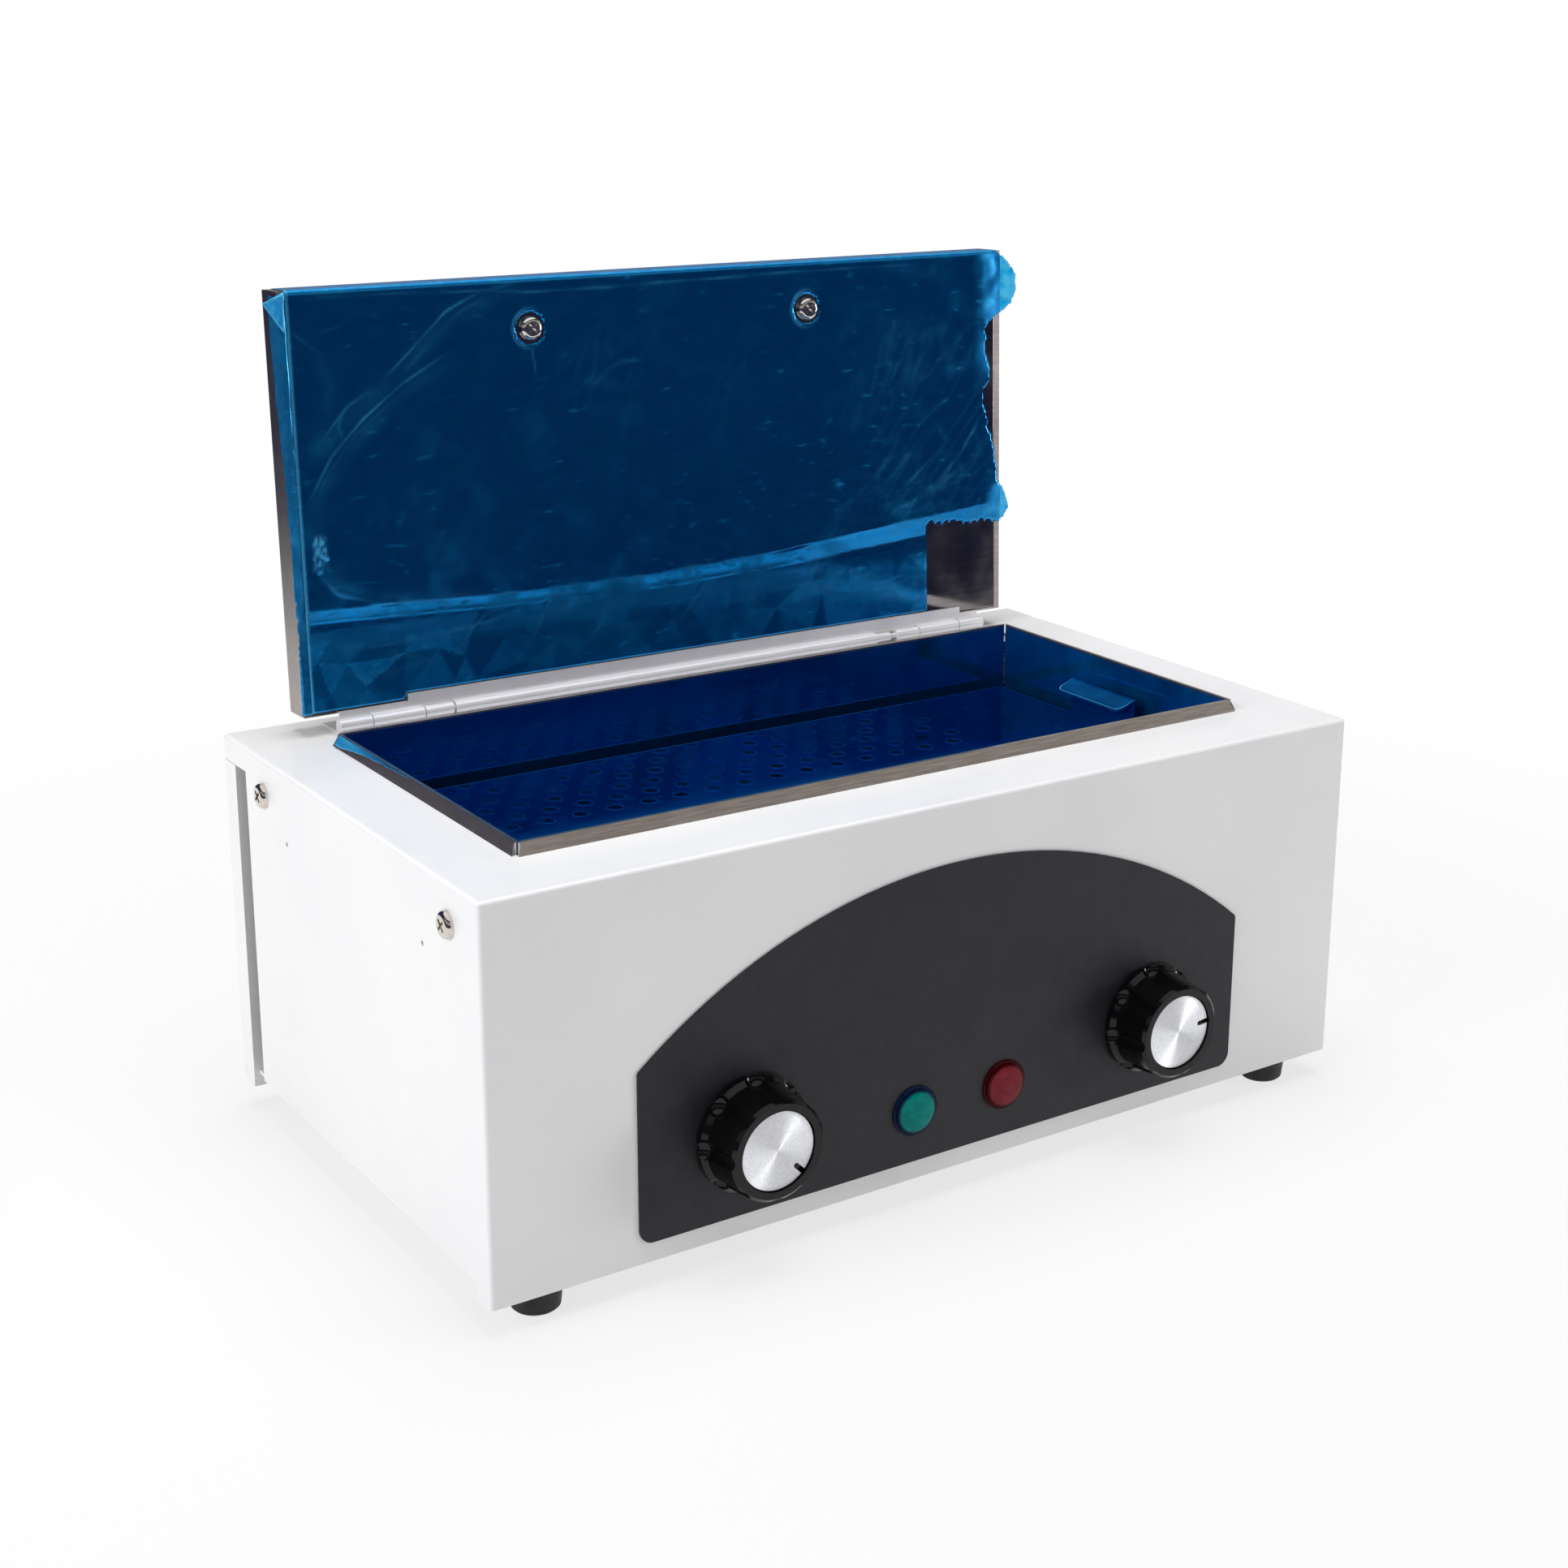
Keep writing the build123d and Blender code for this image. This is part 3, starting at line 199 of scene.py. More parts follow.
def film_on_steel(name, run, blues):
    """Azure polyethylene film that clings to bright steel: a blue mirror with haze and scratches."""
    material, tree, shader = finish(
        name, Metallic=clinging, Coat_Weight=0.12, Coat_IOR=1.5, Coat_Roughness=0.04,
    )
    where = place(tree)
    streaks = place(tree, run)
    wear = mottle(tree, where, 17.0, 0.0, 0.5, 9.0, 0.48, 0.72)
    scratches = mottle(tree, streaks, 3.0, 0.0, 1.0, 8.0, 0.58, 0.78)
    smears = mottle(tree, place(tree, (0.5, 1.0, 1.3)), 6.0, 0.0, 0.34, 10.0, 0.50, 0.72)
    for layer in (scratches, smears):
        wear = add(tree, "ShaderNodeMath", {0: wear, 1: layer}, operation="MAXIMUM")
    blue = add(tree, "ShaderNodeMix", {"Factor": wear, "A": blues[0], "B": blues[1]}, **colour)
    rough = add(tree, "ShaderNodeMapRange", {"Value": wear, "To Min": 0.05, "To Max": 0.30})
    blisters = mottle(tree, where, 5.0, 0.0, 1.0, 3.0)
    blistered = add(tree, "ShaderNodeBump", {"Height": blisters, "Distance": 0.012 * MM})
    pulls = mottle(tree, streaks, 12.0, 0.0, 1.0, 4.0)
    pulled = {"Height": pulls, "Distance": 0.10 * MM, "Normal": blistered}
    sway = mottle(tree, where, 90.0, 0.0, 1.0, 1.0)
    join(tree, shader, {
        "Base Color": blue,
        "Roughness": rough,
        "Coat Normal": add(tree, "ShaderNodeBump", pulled),
        "Normal": add(tree, "ShaderNodeBump", {"Height": sway, "Distance": 0.04 * MM}),
    })
    return material, tree, shader, blue, rough


def lid_film():
    """Film on the lid: pale and milky where its mesh says that it hangs loose or is creased. The crease
    paleness also holds painted highlights on ridges, bends and screw rings.
    """
    material, tree, shader, blue, rough = film_on_steel(
        "lid_film_on_steel", (0.35, 1.0, 1.0), ("#0079C0", "#128FCC"),
    )
    loose = add(tree, "ShaderNodeAttribute", None, "Fac", attribute_name="lifted")
    crease = add(tree, "ShaderNodeAttribute", None, "Fac", attribute_name="crease")
    patches = mottle(tree, place(tree), 4.0, 0.0, 1.0, 5.0, 0.42, 0.66)
    loose_blue = add(tree, "ShaderNodeMix", {"Factor": patches, "A": "#0491DC", "B": "#22B0EC"}, **colour)
    blue = add(tree, "ShaderNodeMix", {"Factor": loose, "A": blue, "B": loose_blue}, **colour)
    off = add(tree, "ShaderNodeMath", {0: loose, 1: crease}, operation="MAXIMUM")
    join(tree, shader, {
        # The crease colour is partly whitened film and partly a painted highlight
        "Base Color": add(tree, "ShaderNodeMix", {"Factor": crease, "A": blue, "B": "#56BCE8"}, **colour),
        "Roughness": add(tree, "ShaderNodeMapRange", {"Value": off, "To Min": rough, "To Max": 0.45}),
        "Metallic": add(tree, "ShaderNodeMapRange", {"Value": off, "To Min": clinging, "To Max": hanging}),
    })
    return material


def lift(tree, shader, blue, ramps, mask=None):
    """Lighter patches where the film is off the steel, growing along each axis from start to end in mm."""
    loose = mottle(tree, place(tree, (1.0, 1.0, 0.8)), 14.0, 0.28, 0.80, 7.0, 0.36, 0.70)
    axes = add(tree, "ShaderNodeSeparateXYZ", {0: place(tree)}, None).outputs
    for axis, start, end in ramps:
        reach = {"Value": axes[axis], "From Min": start * MM, "From Max": end * MM}
        ramp = add(tree, "ShaderNodeMapRange", reach)
        loose = add(tree, "ShaderNodeMath", {0: loose, 1: ramp}, operation="MULTIPLY")
    if mask is not None:
        loose = add(tree, "ShaderNodeMath", {0: loose, 1: mask}, operation="MULTIPLY")
    lifts = {"Value": loose, "To Min": clinging, "To Max": lifting}
    join(tree, shader, {"Metallic": add(tree, "ShaderNodeMapRange", lifts)})
    return add(tree, "ShaderNodeMix", {"Factor": loose, "A": blue, "B": "#0A86D4"}, **colour)


def tray_film():
    """Film on the tray: the same blue, lighter where it stands off along the top of the walls and tabs."""
    material, tree, shader, blue, _ = film_on_steel(
        "tray_film_on_steel", (0.4, 1.0, 1.0), ("#0074C0", "#128ACC"),
    )
    join(tree, shader, {"Base Color": lift(tree, shader, blue, [("Z", 131.0, 135.0)])})
    return material


def inside_chamber(tree):
    """1 on the film inside the chamber, 0 on the bare rim round its mouth."""
    x, y, z = add(tree, "ShaderNodeSeparateXYZ", {0: place(tree)}, None).outputs
    off_y = add(tree, "ShaderNodeMath", {0: y, 1: chamber_y * MM}, operation="SUBTRACT")
    mask = add(tree, "ShaderNodeMath", {0: z, 1: (rim_top - 0.8) * MM}, operation="LESS_THAN")
    for value, half in ((x, chamber_half_w), (off_y, chamber_half_d)):
        off = add(tree, "ShaderNodeMath", {0: value}, operation="ABSOLUTE")
        inside = add(tree, "ShaderNodeMath", {0: off, 1: (half + 0.1) * MM}, operation="LESS_THAN")
        mask = add(tree, "ShaderNodeMath", {0: mask, 1: inside}, operation="MULTIPLY")
    return mask


def chamber_film():
    """The pressed tub: blue film inside, darkened as painted shade, lifting at its right end, and a bare
    rim, a warm grey.
    """
    # Darker blues than on the lid: painted shade inside the tub
    material, tree, shader, blue, rough = film_on_steel(
        "chamber_film_on_steel", (0.4, 0.4, 1.0), ("#006CB8", "#0C7AC0"),
    )
    mask = inside_chamber(tree)
    blue = lift(tree, shader, blue, [("X", 40.0, 140.0), ("Z", 112.0, 142.0)], mask)
    # Brushing lines along the rim, drawn 0.5 mm wide so that they show
    lines = mottle(tree, place(tree, (0.05, 0.05, 1.0)), 0.5, 0.0, 1.0, 3.0)
    bare = add(tree, "ShaderNodeMix", {"Factor": lines, "A": "#A39B94", "B": "#BDB6B0"}, **colour)
    join(tree, shader, {
        "Base Color": add(tree, "ShaderNodeMix", {"Factor": mask, "A": bare, "B": blue}, **colour),
        "Roughness": add(tree, "ShaderNodeMapRange", {"Value": mask, "To Min": 0.18, "To Max": rough}),
    })
    return material


def free_film():
    """The same film where it has come away from the steel: clear azure with the light behind it."""
    material, tree, shader = finish(
        "free_film", Transmission_Weight=0.5, IOR=1.2, Roughness=0.08, Coat_Weight=0.6, Coat_Roughness=0.05,
    )
    folds = mottle(tree, place(tree), 5.0, 0.0, 1.0, 4.0)
    azure = {"Factor": folds, "A": "#0FB4F0", "B": "#5FD2F7"}
    join(tree, shader, {
        "Base Color": add(tree, "ShaderNodeMix", azure, **colour),
        "Normal": add(tree, "ShaderNodeBump", {"Height": folds, "Distance": 0.4 * MM}),
    })
    return material


def plated(name, dark, pale, rough, pits, size=2.5, bright=1.0):
    """Plated steel, brass or copper with polishing marks, less than fully bright where it is satin."""
    material, tree, shader = finish(name, Metallic=bright)
    where = place(tree)
    marks = mottle(tree, where, size, 0.0, 1.0, 2.0, 0.2, 0.8)
    join(tree, shader, {
        "Base Color": add(tree, "ShaderNodeMix", {"Factor": marks, "A": dark, "B": pale}, **colour),
        "Roughness": mottle(tree, where, size / 2, *rough, 1.0),
        "Normal": add(tree, "ShaderNodeBump", {"Height": marks, "Distance": pits * MM}),
    })
    return material


def moulded(name, dark, pale, rough, grain, depth, **sockets):
    """A moulded surface: one colour with a slight cloudiness, and the grain of its mould."""
    material, tree, shader = finish(name, IOR=1.5, **sockets)
    where = place(tree)
    cloud = mottle(tree, where, 12.0, 0.0, 1.0)
    mould_grain = mottle(tree, where, grain, 0.0, 1.0, 2.0)
    join(tree, shader, {
        "Base Color": add(tree, "ShaderNodeMix", {"Factor": cloud, "A": dark, "B": pale}, **colour),
        "Roughness": mottle(tree, where, 4.0, *rough),
        "Normal": add(tree, "ShaderNodeBump", {"Height": mould_grain, "Distance": depth * MM}),
    })
    return material


def spun_disc(name, centre_x):
    """Spun aluminium inlay: fine rings round its middle, which throw the light into two wedges."""
    spun = {"Metallic": 1.0, "Roughness": 0.45, "Anisotropic": 0.85, "Anisotropic_Rotation": 0.25}
    material, tree, shader = finish(name, **spun)
    patches = mottle(tree, place(tree), 0.8, 0.0, 1.0)
    radius = off_centre(tree, centre_x, control_z)[1]
    # Turning marks are about a tenth of a millimetre apart, and are drawn 0.35 mm apart so that they show
    grooves = ripples(tree, radius, 0.35)
    silver = {"Factor": patches, "A": "#E4E5EA", "B": "#F2F3F6"}
    join(tree, shader, {
        "Base Color": add(tree, "ShaderNodeMix", silver, **colour),
        "Tangent": add(tree, "ShaderNodeTangent", direction_type="RADIAL", axis="Y"),
        "Normal": add(tree, "ShaderNodeBump", {"Height": grooves, "Distance": 0.004 * MM}),
    })
    return material


def cast_lens(name, centre_x, edge, deep, bright):
    """Tinted acrylic lens, moulded with ribs: clearer in the crown, dark in its thick collar, which is also
    a painted dark reflection.
    """
    material, tree, shader = finish(name, IOR=1.49, Roughness=0.10, Specular_IOR_Level=0.08)
    off, radius = off_centre(tree, centre_x, lamp_z)
    # The collar's colour is partly the thicker plastic and partly a painted dark reflection
    collar_shade_ring = {"Value": radius, "From Min": 6.7 * MM, "From Max": 7.5 * MM}
    collar = add(tree, "ShaderNodeMapRange", collar_shade_ring)
    cloud = mottle(tree, place(tree), 3.0, 0.0, 1.0, 4.0)
    tint = add(tree, "ShaderNodeMix", {"Factor": cloud, "A": deep, "B": bright}, **colour)
    ribs = ripples(tree, add(tree, "ShaderNodeSeparateXYZ", {0: off}, "X"), 1.1)
    join(tree, shader, {
        "Base Color": add(tree, "ShaderNodeMix", {"Factor": collar, "A": tint, "B": edge}, **colour),
        "Normal": add(tree, "ShaderNodeBump", {"Height": ribs, "Distance": 0.012 * MM}),
    })
    return material


def fibre(name, dark, pale, size):
    """Felt, mica and woven sleeves inside the case: matt, with a loose fibrous tone."""
    material, tree, shader = finish(name, Roughness=0.95)
    strands = mottle(tree, place(tree), size, 0.0, 1.0, 6.0)
    join(tree, shader, {
        "Base Color": add(tree, "ShaderNodeMix", {"Factor": strands, "A": dark, "B": pale}, **colour),
        "Normal": add(tree, "ShaderNodeBump", {"Height": strands, "Distance": 0.2 * size * MM}),
    })
    return material


lid_film_finish = lid_film()
finishes = {
    "white_paint": powder_coat(),
    "panel_black": panel_lacquer(),
    # Bright steel under peel-off film: a deep blue mirror
    # The chamber's film has darker blues: painted shade inside the tub
    "liner_steel": chamber_film(),
    "tray_steel": tray_film(),
    "blue_film": lid_film_finish,
    # The lid's inner plate where the film is gone: a dark grey mirror
    "plate_steel": steel_sheet("bright_rolled_steel", "#85807D", "#9A9592", (0.05, 0.16), 0.002),
    # Satin nickel on the hinge, nearly white and half matt
    "hinge_plate": plated("satin_nickel", "#F1F0F3", "#F9F8FA", (0.30, 0.34), 0.002, 30.0, 0.40),
    # Bright nickel on screws and nuts: small warm mirrors
    "screw_plate": plated("bright_nickel", "#CFC7BD", "#E2DCD4", (0.10, 0.18), 0.001),
    # Zinc plate on brackets, clamps and shafts inside the case: a duller, cooler grey
    "zinc_plate": plated("bright_zinc", "#A9AAAC", "#C2C3C5", (0.22, 0.38), 0.006),
    # Black natural rubber: matt and slightly dusty
    "foot_rubber": moulded("foot_rubber", "#161616", "#1C1C1C", (0.55, 0.70), 0.8, 0.03),
    # ABS from a polished mould: deep black with sharp small highlights
    "knob_black": moulded(
        "glossy_abs", "#080809", "#0C0C0D", (0.10, 0.16), 2.5, 0.004, Specular_IOR_Level=0.28,
    ),
    # Phenolic from a spark-grained mould: soft broad highlights on the handle
    "handle_black": moulded("grained_phenolic", "#131313", "#191919", (0.40, 0.50), 0.9, 0.03),
    # Each lens's collar colour, navy on the green one, is partly thicker plastic and partly a painted dark
    # reflection
    "green_lens": cast_lens("green_acrylic", -lamp_x, "#0A1C3A", "#007570", "#00847E"),
    "red_lens": cast_lens("red_acrylic", lamp_x, "#3A0206", "#71202B", "#7E2A34"),
    # Nylon on the lamps, the timer and the terminal block: ivory and half matt
    "lamp_plastic": moulded("ivory_nylon", "#D6D2C4", "#E0DCCF", (0.40, 0.50), 1.2, 0.01),
    # Phenolic inlet, cut-out and thermostat bodies: black, smoother than the handle
    "device_black": moulded("black_phenolic", "#151515", "#1C1C1C", (0.38, 0.50), 1.0, 0.02),
    # Brass pins and earth stud, and the thermostat's copper tube: warm, a little dulled
    "brass": plated("plain_brass", "#B08D4A", "#C7A45E", (0.22, 0.36), 0.004),
    "copper": plated("copper_tube", "#A9673F", "#C07C52", (0.22, 0.36), 0.004),
    "mica": fibre("mica_plate", "#8C7F6C", "#A3967F", 4.0),
    "felt": fibre("ceramic_felt", "#CFC9BB", "#DFDACD", 2.0),
    "wire_sleeve": fibre("glass_sleeve", "#C4C2BC", "#D8D6D0", 1.0),
}
own_finish = {
    "thermostat_disc": spun_disc("spun_disc_left", -control_x),
    "timer_disc": spun_disc("spun_disc_right", control_x),
    # Brushed stainless outside the lid: warm grey, its highlights drawn out across the lines
    "lid_shell": steel_sheet("brushed_stainless", "#A29B96", "#B5AEA9", (0.30, 0.36), 0.004),
}
slot_of = {part["node"]: part.get("material_slot", part["node"]) for part in record["subparts"]}
for name, node in nodes.items():
    for held in node.material_slots:
        held.material = own_finish.get(name) or finishes[slot_of[name]]


def lid_point(x, u, v):
    """A place on the open lid: u up from the hinge, v out through the lid, both in millimetres."""
    return Vector((
        x * MM,
        (hinge_y + u * math.sin(lean) + v * math.cos(lean)) * MM,
        (hinge_z + u * math.cos(lean) - v * math.sin(lean)) * MM,
    ))


# Creases of the lid's film: each a line of places x, u on its face, with how pale it is and its half width.
# The paleness is partly whitened film and partly a painted highlight along the ridge
creases = [
    ([(-66, 152), (-80, 149.5), (-93, 143.7), (-108.6, 129.6), (-119.9, 119.9)], 0.50, 0.55),
    ([(-72, 150), (-88, 143), (-104, 129), (-116, 118)], 0.22, 0.8),
    ([(-119.9, 119.9), (-132, 113), (-139.6, 105), (-146.4, 96.8)], 0.38, 0.6),
    ([(-91, 130), (-96.6, 127.1), (-111.5, 119.2), (-126.5, 108.2), (-139, 96.1), (-150, 78.3)], 0.50, 0.55),
    ([(-98, 124), (-114, 114.5), (-129, 103.5), (-141, 90), (-151, 72)], 0.20, 0.8),
    (
        [(-150, 151.3), (-115, 151.0), (-77, 150.0), (-60, 148.6), (-10, 149.0), (47, 150.0), (113, 150.3)],
        0.35, 0.5,
    ),
    ([(-149, 58), (-140, 47.7), (-124.9, 42.2), (-112, 41)], 0.25, 0.8),
    ([(-133, 113), (-136, 106), (-134, 101)], 0.30, 0.6),
    ([(-151, 140), (-144, 134), (-139, 131)], 0.35, 0.5),
    ([(-141, 139), (-132, 141)], 0.30, 0.5),
    ([(-60, 130), (-58.9, 122), (-58.6, 117)], 0.30, 0.5),
    ([(-30, 118), (-24, 121), (-14, 121)], 0.28, 0.7),
    ([(-108, 92), (-101, 93)], 0.22, 0.6),
    ([(129, 78.7), (112.5, 66), (102.3, 58)], 0.24, 0.7),
    ([(138, 76), (124, 62), (110, 55)], 0.22, 0.9),
    ([(146, 88), (136, 74), (126, 64)], 0.26, 0.7),
    ([(118, 84), (100, 66), (88, 56)], 0.16, 1.2),
    ([(141, 70), (120, 58), (98, 50)], 0.20, 1.2),
    ([(104, 78), (86, 62), (70, 52)], 0.14, 1.4),
    ([(-146, 30), (-128, 26), (-108, 27), (-88, 29), (-70, 33)], 0.24, 0.8),
    ([(-84, 33), (-92, 24), (-101, 14)], 0.34, 0.6),
    ([(-101, 14), (-112, 21), (-128, 24)], 0.24, 0.6),
    ([(-58, 34), (-62, 24), (-72, 13)], 0.30, 0.6),
    ([(-118, 28), (-122, 18), (-132, 8)], 0.28, 0.6),
    ([(-100, 20), (-120, 16), (-140, 17)], 0.22, 0.7),
    ([(-150, 24), (-136, 18), (-126, 9)], 0.22, 0.7),
    ([(-30, 32), (-36, 22), (-44, 14)], 0.26, 0.6),
    ([(10, 33), (4, 24), (-6, 15)], 0.22, 0.6),
    ([(30, 34), (34, 24), (28, 14)], 0.18, 0.6),
    ([(62, 36), (58, 27), (50, 18)], 0.18, 0.6),
    ([(-40, 20), (0, 21), (40, 25), (84, 30)], 0.14, 1.0),
    ([(-64, 150), (-90, 142), (-112, 123), (-134, 108), (-149, 92)], 0.13, 3.4),
    ([(-88, 129), (-108, 118), (-128, 102), (-143, 85), (-151, 66)], 0.12, 2.8),
    ([(-151, 62), (-141, 51), (-127, 45), (-106, 42), (-84, 41)], 0.12, 2.6),
    ([(-146, 140), (-138, 120), (-143, 104), (-149, 90)], 0.10, 2.4),
]
# Where the film rides up over its loose lower strip: place along the lid, height, width, slope and growth
swell = [
    (-150.0, 40.0, 2.6, 0.029, 0.0), (-82.0, 37.5, 3.0, 0.0205, 0.0), (-14.0, 36.7, 4.4, 0.018, 0.001),
    (52.0, 39.0, 5.2, 0.026, 0.0014), (74.0, 40.4, 5.4, 0.045, 0.0014), (100.0, 42.3, 6.0, 0.060, 0.0014),
    (154.0, 46.7, 7.0, 0.074, 0.0014),
]
# How far the swell's slope runs on below and above its width, and how far up the lid it takes to fall back
swell_below = 1.2
swell_above = 1.0
swell_fall = 62.0
# Straight pulls that fan out above the swell, each with its half width
fan_folds = [
    ([(30, 40.5), (78, 44.5), (120, 49.5)], 0.8), ([(52, 43.5), (95, 49), (152, 59)], 1.0),
    ([(66, 46), (104, 54), (150, 66)], 0.9), ([(84, 51), (116, 61.5), (148, 76)], 1.0),
    ([(92, 55.5), (104, 63), (129, 79)], 0.8), ([(110, 61), (134, 75), (147, 89)], 0.8),
    ([(72, 52), (92, 60), (112, 72)], 0.7), ([(118, 56), (136, 63), (150, 71)], 0.7),
]
# Areas of the lid's face: ends along x, ends along u, and how softly they end along x and u
loose_strip = (-160, 60, 0, 27, 70, 8)
right_part = (108, 160, 58, 112, 35, 22)
fan_part = (80, 156, 44, 60, 50, 12)
small_wad = (-147, -144, 58, 67, 2, 3)
top_lobe = (154, 175, 112, 160, 13, 12)
low_bulge = (154, 175, 42, 57, 8, 6)
# Folds drawn from noise: size across in millimetres, direction in degrees, and where in the noise they lie
slack_folds = (8.0, 52, 11.4)
slack_wrinkles = (5.0, 52, 11.4)
fan_wrinkles = (1.8, 16, 31.7)
wad_folds = (1.6, 80, 19.3)
haze_wrinkles = (5.0, 70, 23.9)
# Patches of faint haze: place, reach and strength
haze_spots = [
    (-33, 118, 16, 0.12), (108, 118, 20, 0.08), (88, 96, 18, 0.07), (20, 108, 24, 0.06),
    (-100, 70, 26, 0.05),
]
# How loose the lower strip is at places along the lid, and its lower and upper ends with their softness
strip_loose = ([-150, -90, -40, 20, 80, 120], [0.60, 0.50, 0.30, 0.28, 0.46, 0.54])
strip_ends = (3, 29, 6)
# How far each form of the film stands off, in millimetres
crease_rise = 0.22
facet_rise = 0.22
pull_rise = 0.07
slack_rise = 0.035
wad_rise = 0.5
screw_ring_rise = 0.12
# How pale or loose the film is where it bends over an edge or is drawn up round a screw: loose over the top
# edge, and pale on the left bend and the screw rings, which is a painted highlight
bend_highlight_and_loose_share = 0.55
left_bend_x = -plate_half + 1.6
left_bend_soft = 0.8
top_bend_u = 152.2
top_bend_soft = 1.2
# The sheet's lower edge as x and u, which steps up over the hinge's strip
sheet_low = 4.6
lower_edge = ([-152.4, -116.6, -115.4], [sheet_low, 5.2, 7.6])
# The missing lower right corner: where it starts along x, and its torn upper line as x and u
film_bare_x = 118.0
bare_top = ([118, 124, 131, 138, 146, 152.6, 156], [44.6, 43.0, 44.0, 41.8, 42.8, 41.0, 42.0])
# The sheet's torn right edge as places u, x, and its straight edge on the top wall
roof_right = 152.6
right_edge = [
    (40.0, 154.6), (43.0, 156.8), (47.0, 158.4), (52.5, 157.8), (56.0, 155.8), (60.0, 153.2), (64.6, 153.4),
    (70.5, 151.6), (76.8, 150.9), (82.0, 148.6), (87.2, 147.9), (92.0, 145.9), (97.4, 146.6), (100.5, 149.4),
    (105.0, 149.6), (109.3, 148.9), (114.1, 146.8), (118.0, 148.2), (122.5, 147.0), (126.0, 150.5),
    (128.6, 155.0), (132.0, 159.5), (137.0, 162.0), (142.0, 162.4), (147.2, 160.4), (151.0, 157.0),
    (153.2, 154.0), (153.9, 153.2),
]
# The film's mesh cell and thickness
film_cell = 0.8
film_thick = 0.12
# The sheet's place in front of the plate, its turn over the lid's top edge, its length on the top wall,
# the right end of its mesh, its curl past the plate's edge, and its screw holes
film_v = plate_v - 0.22
bend = 1.3
roof_u = lid_high + 0.25
face_top = roof_u - bend
arc = bend * math.pi / 2
roof_length = 10.4
mesh_right = 163.0
edge_curl = 0.0175
screw_hole_r = 5.6


def line_strength(x, u, points, half_width):
    """How near each point is to a crease line: 1 on it, fading at its ends, with a slow beat along it."""
    best = np.full(x.shape, 1e9)
    run = np.zeros(x.shape)
    whole = 0.0
    for (ax, au), (bx, bu) in zip(points, points[1:]):
        length = math.dist((ax, au), (bx, bu))
        t = np.clip(((x - ax) * (bx - ax) + (u - au) * (bu - au)) / length**2, 0, 1)
        far = np.hypot(x - ax - t * (bx - ax), u - au - t * (bu - au))
        near = far < best
        best = np.where(near, far, best)
        run = np.where(near, whole + t * length, run)
        whole += length
    taper = 0.25 + 0.75 * np.clip(np.minimum(run, whole - run) / (0.25 * whole), 0, 1)
    beat = 0.72 + 0.28 * np.sin(run / 4.3 + whole)
    return np.exp(-(best / half_width) ** 2) * taper * beat


def rumple(x, u, size, angle, seed):
    """Sharp-topped folds from noise, about three times as long along one direction as across it."""
    drawn_out = 3.2
    sharpness = 3.2
    turn = math.radians(angle)
    along = (x * math.cos(turn) + u * math.sin(turn)) / (drawn_out * size)
    across = (-x * math.sin(turn) + u * math.cos(turn)) / size
    cloud = [abs(noise.noise((a, b, seed))) for a, b in zip(along.ravel(), across.ravel())]
    return np.clip(1 - sharpness * np.array(cloud).reshape(x.shape), 0, 1) ** 2


def band(value, low, high, soft):
    """1 between two limits, falling to 0 over the soft width outside them."""
    return np.clip((value - low) / soft + 1, 0, 1) * np.clip((high - value) / soft + 1, 0, 1)


def within(x, u, area):
    """1 inside an area of the lid's face, falling to 0 over its soft ends."""
    left, right, low, high, soft_x, soft_u = area
    return band(x, left, right, soft_x) * band(u, low, high, soft_u)


def swell_height(x, u):
    """The low rise over the loose strip: a slope that mirrors the case top, then a long fall back."""
    place_x, *forms = zip(*swell)
    middle, width, slope, growth = (np.interp(x, place_x, values) for values in forms)
    low = middle - width / 2 - swell_below
    high = middle + width / 2 + swell_above
    off = np.clip(u, low, high) - middle
    foot = low - middle
    rise = slope * (off - foot) + growth * (off ** 2 - foot ** 2) / 2
    past = np.clip((u - high) / swell_fall, 0, 1)
    return rise * (1 - past) ** 1.5


def facets(x, u):
    """Loose film drawn into flat triangles: how far each point stands off, and each triangle's own tone."""
    random = np.random.default_rng(11)
    pitch = 14.0
    left, right = -162.0, 132.0
    levels = (0.0, 10.0, 21.0, 33.0)
    stray_x, stray_u = 5.0, 3.4
    corners, rises = [], []
    for row, level in enumerate(levels):
        for place_x in np.arange(left, right, pitch) + (row % 2) * pitch / 2:
            shift_x, shift_u, rise = random.uniform((-stray_x, -stray_u, 0.0), (stray_x, stray_u, 1.0))
            corners.append((place_x + shift_x, level + shift_u))
            rises.append(0.0 if level == levels[-1] else rise)
    join_within = 0.01
    triangles = geometry.delaunay_2d_cdt([Vector(corner) for corner in corners], [], [], 0, join_within)[2]
    height = np.zeros(x.shape)
    tone = np.full(x.shape, 0.5)
    for a, b, c in triangles:
        (ax, au), (bx, bu), (cx, cu) = (corners[i] for i in (a, b, c))
        area = (bx - ax) * (cu - au) - (cx - ax) * (bu - au)
        share_b = ((x - ax) * (cu - au) - (cx - ax) * (u - au)) / area
        share_c = ((bx - ax) * (u - au) - (x - ax) * (bu - au)) / area
        inside = (share_b >= 0) & (share_c >= 0) & (share_b + share_c <= 1)
        flat = rises[a] * (1 - share_b - share_c) + rises[b] * share_b + rises[c] * share_c
        height = np.where(inside, flat, height)
        tone = np.where(inside, random.uniform(0, 1), tone)
    return height, tone


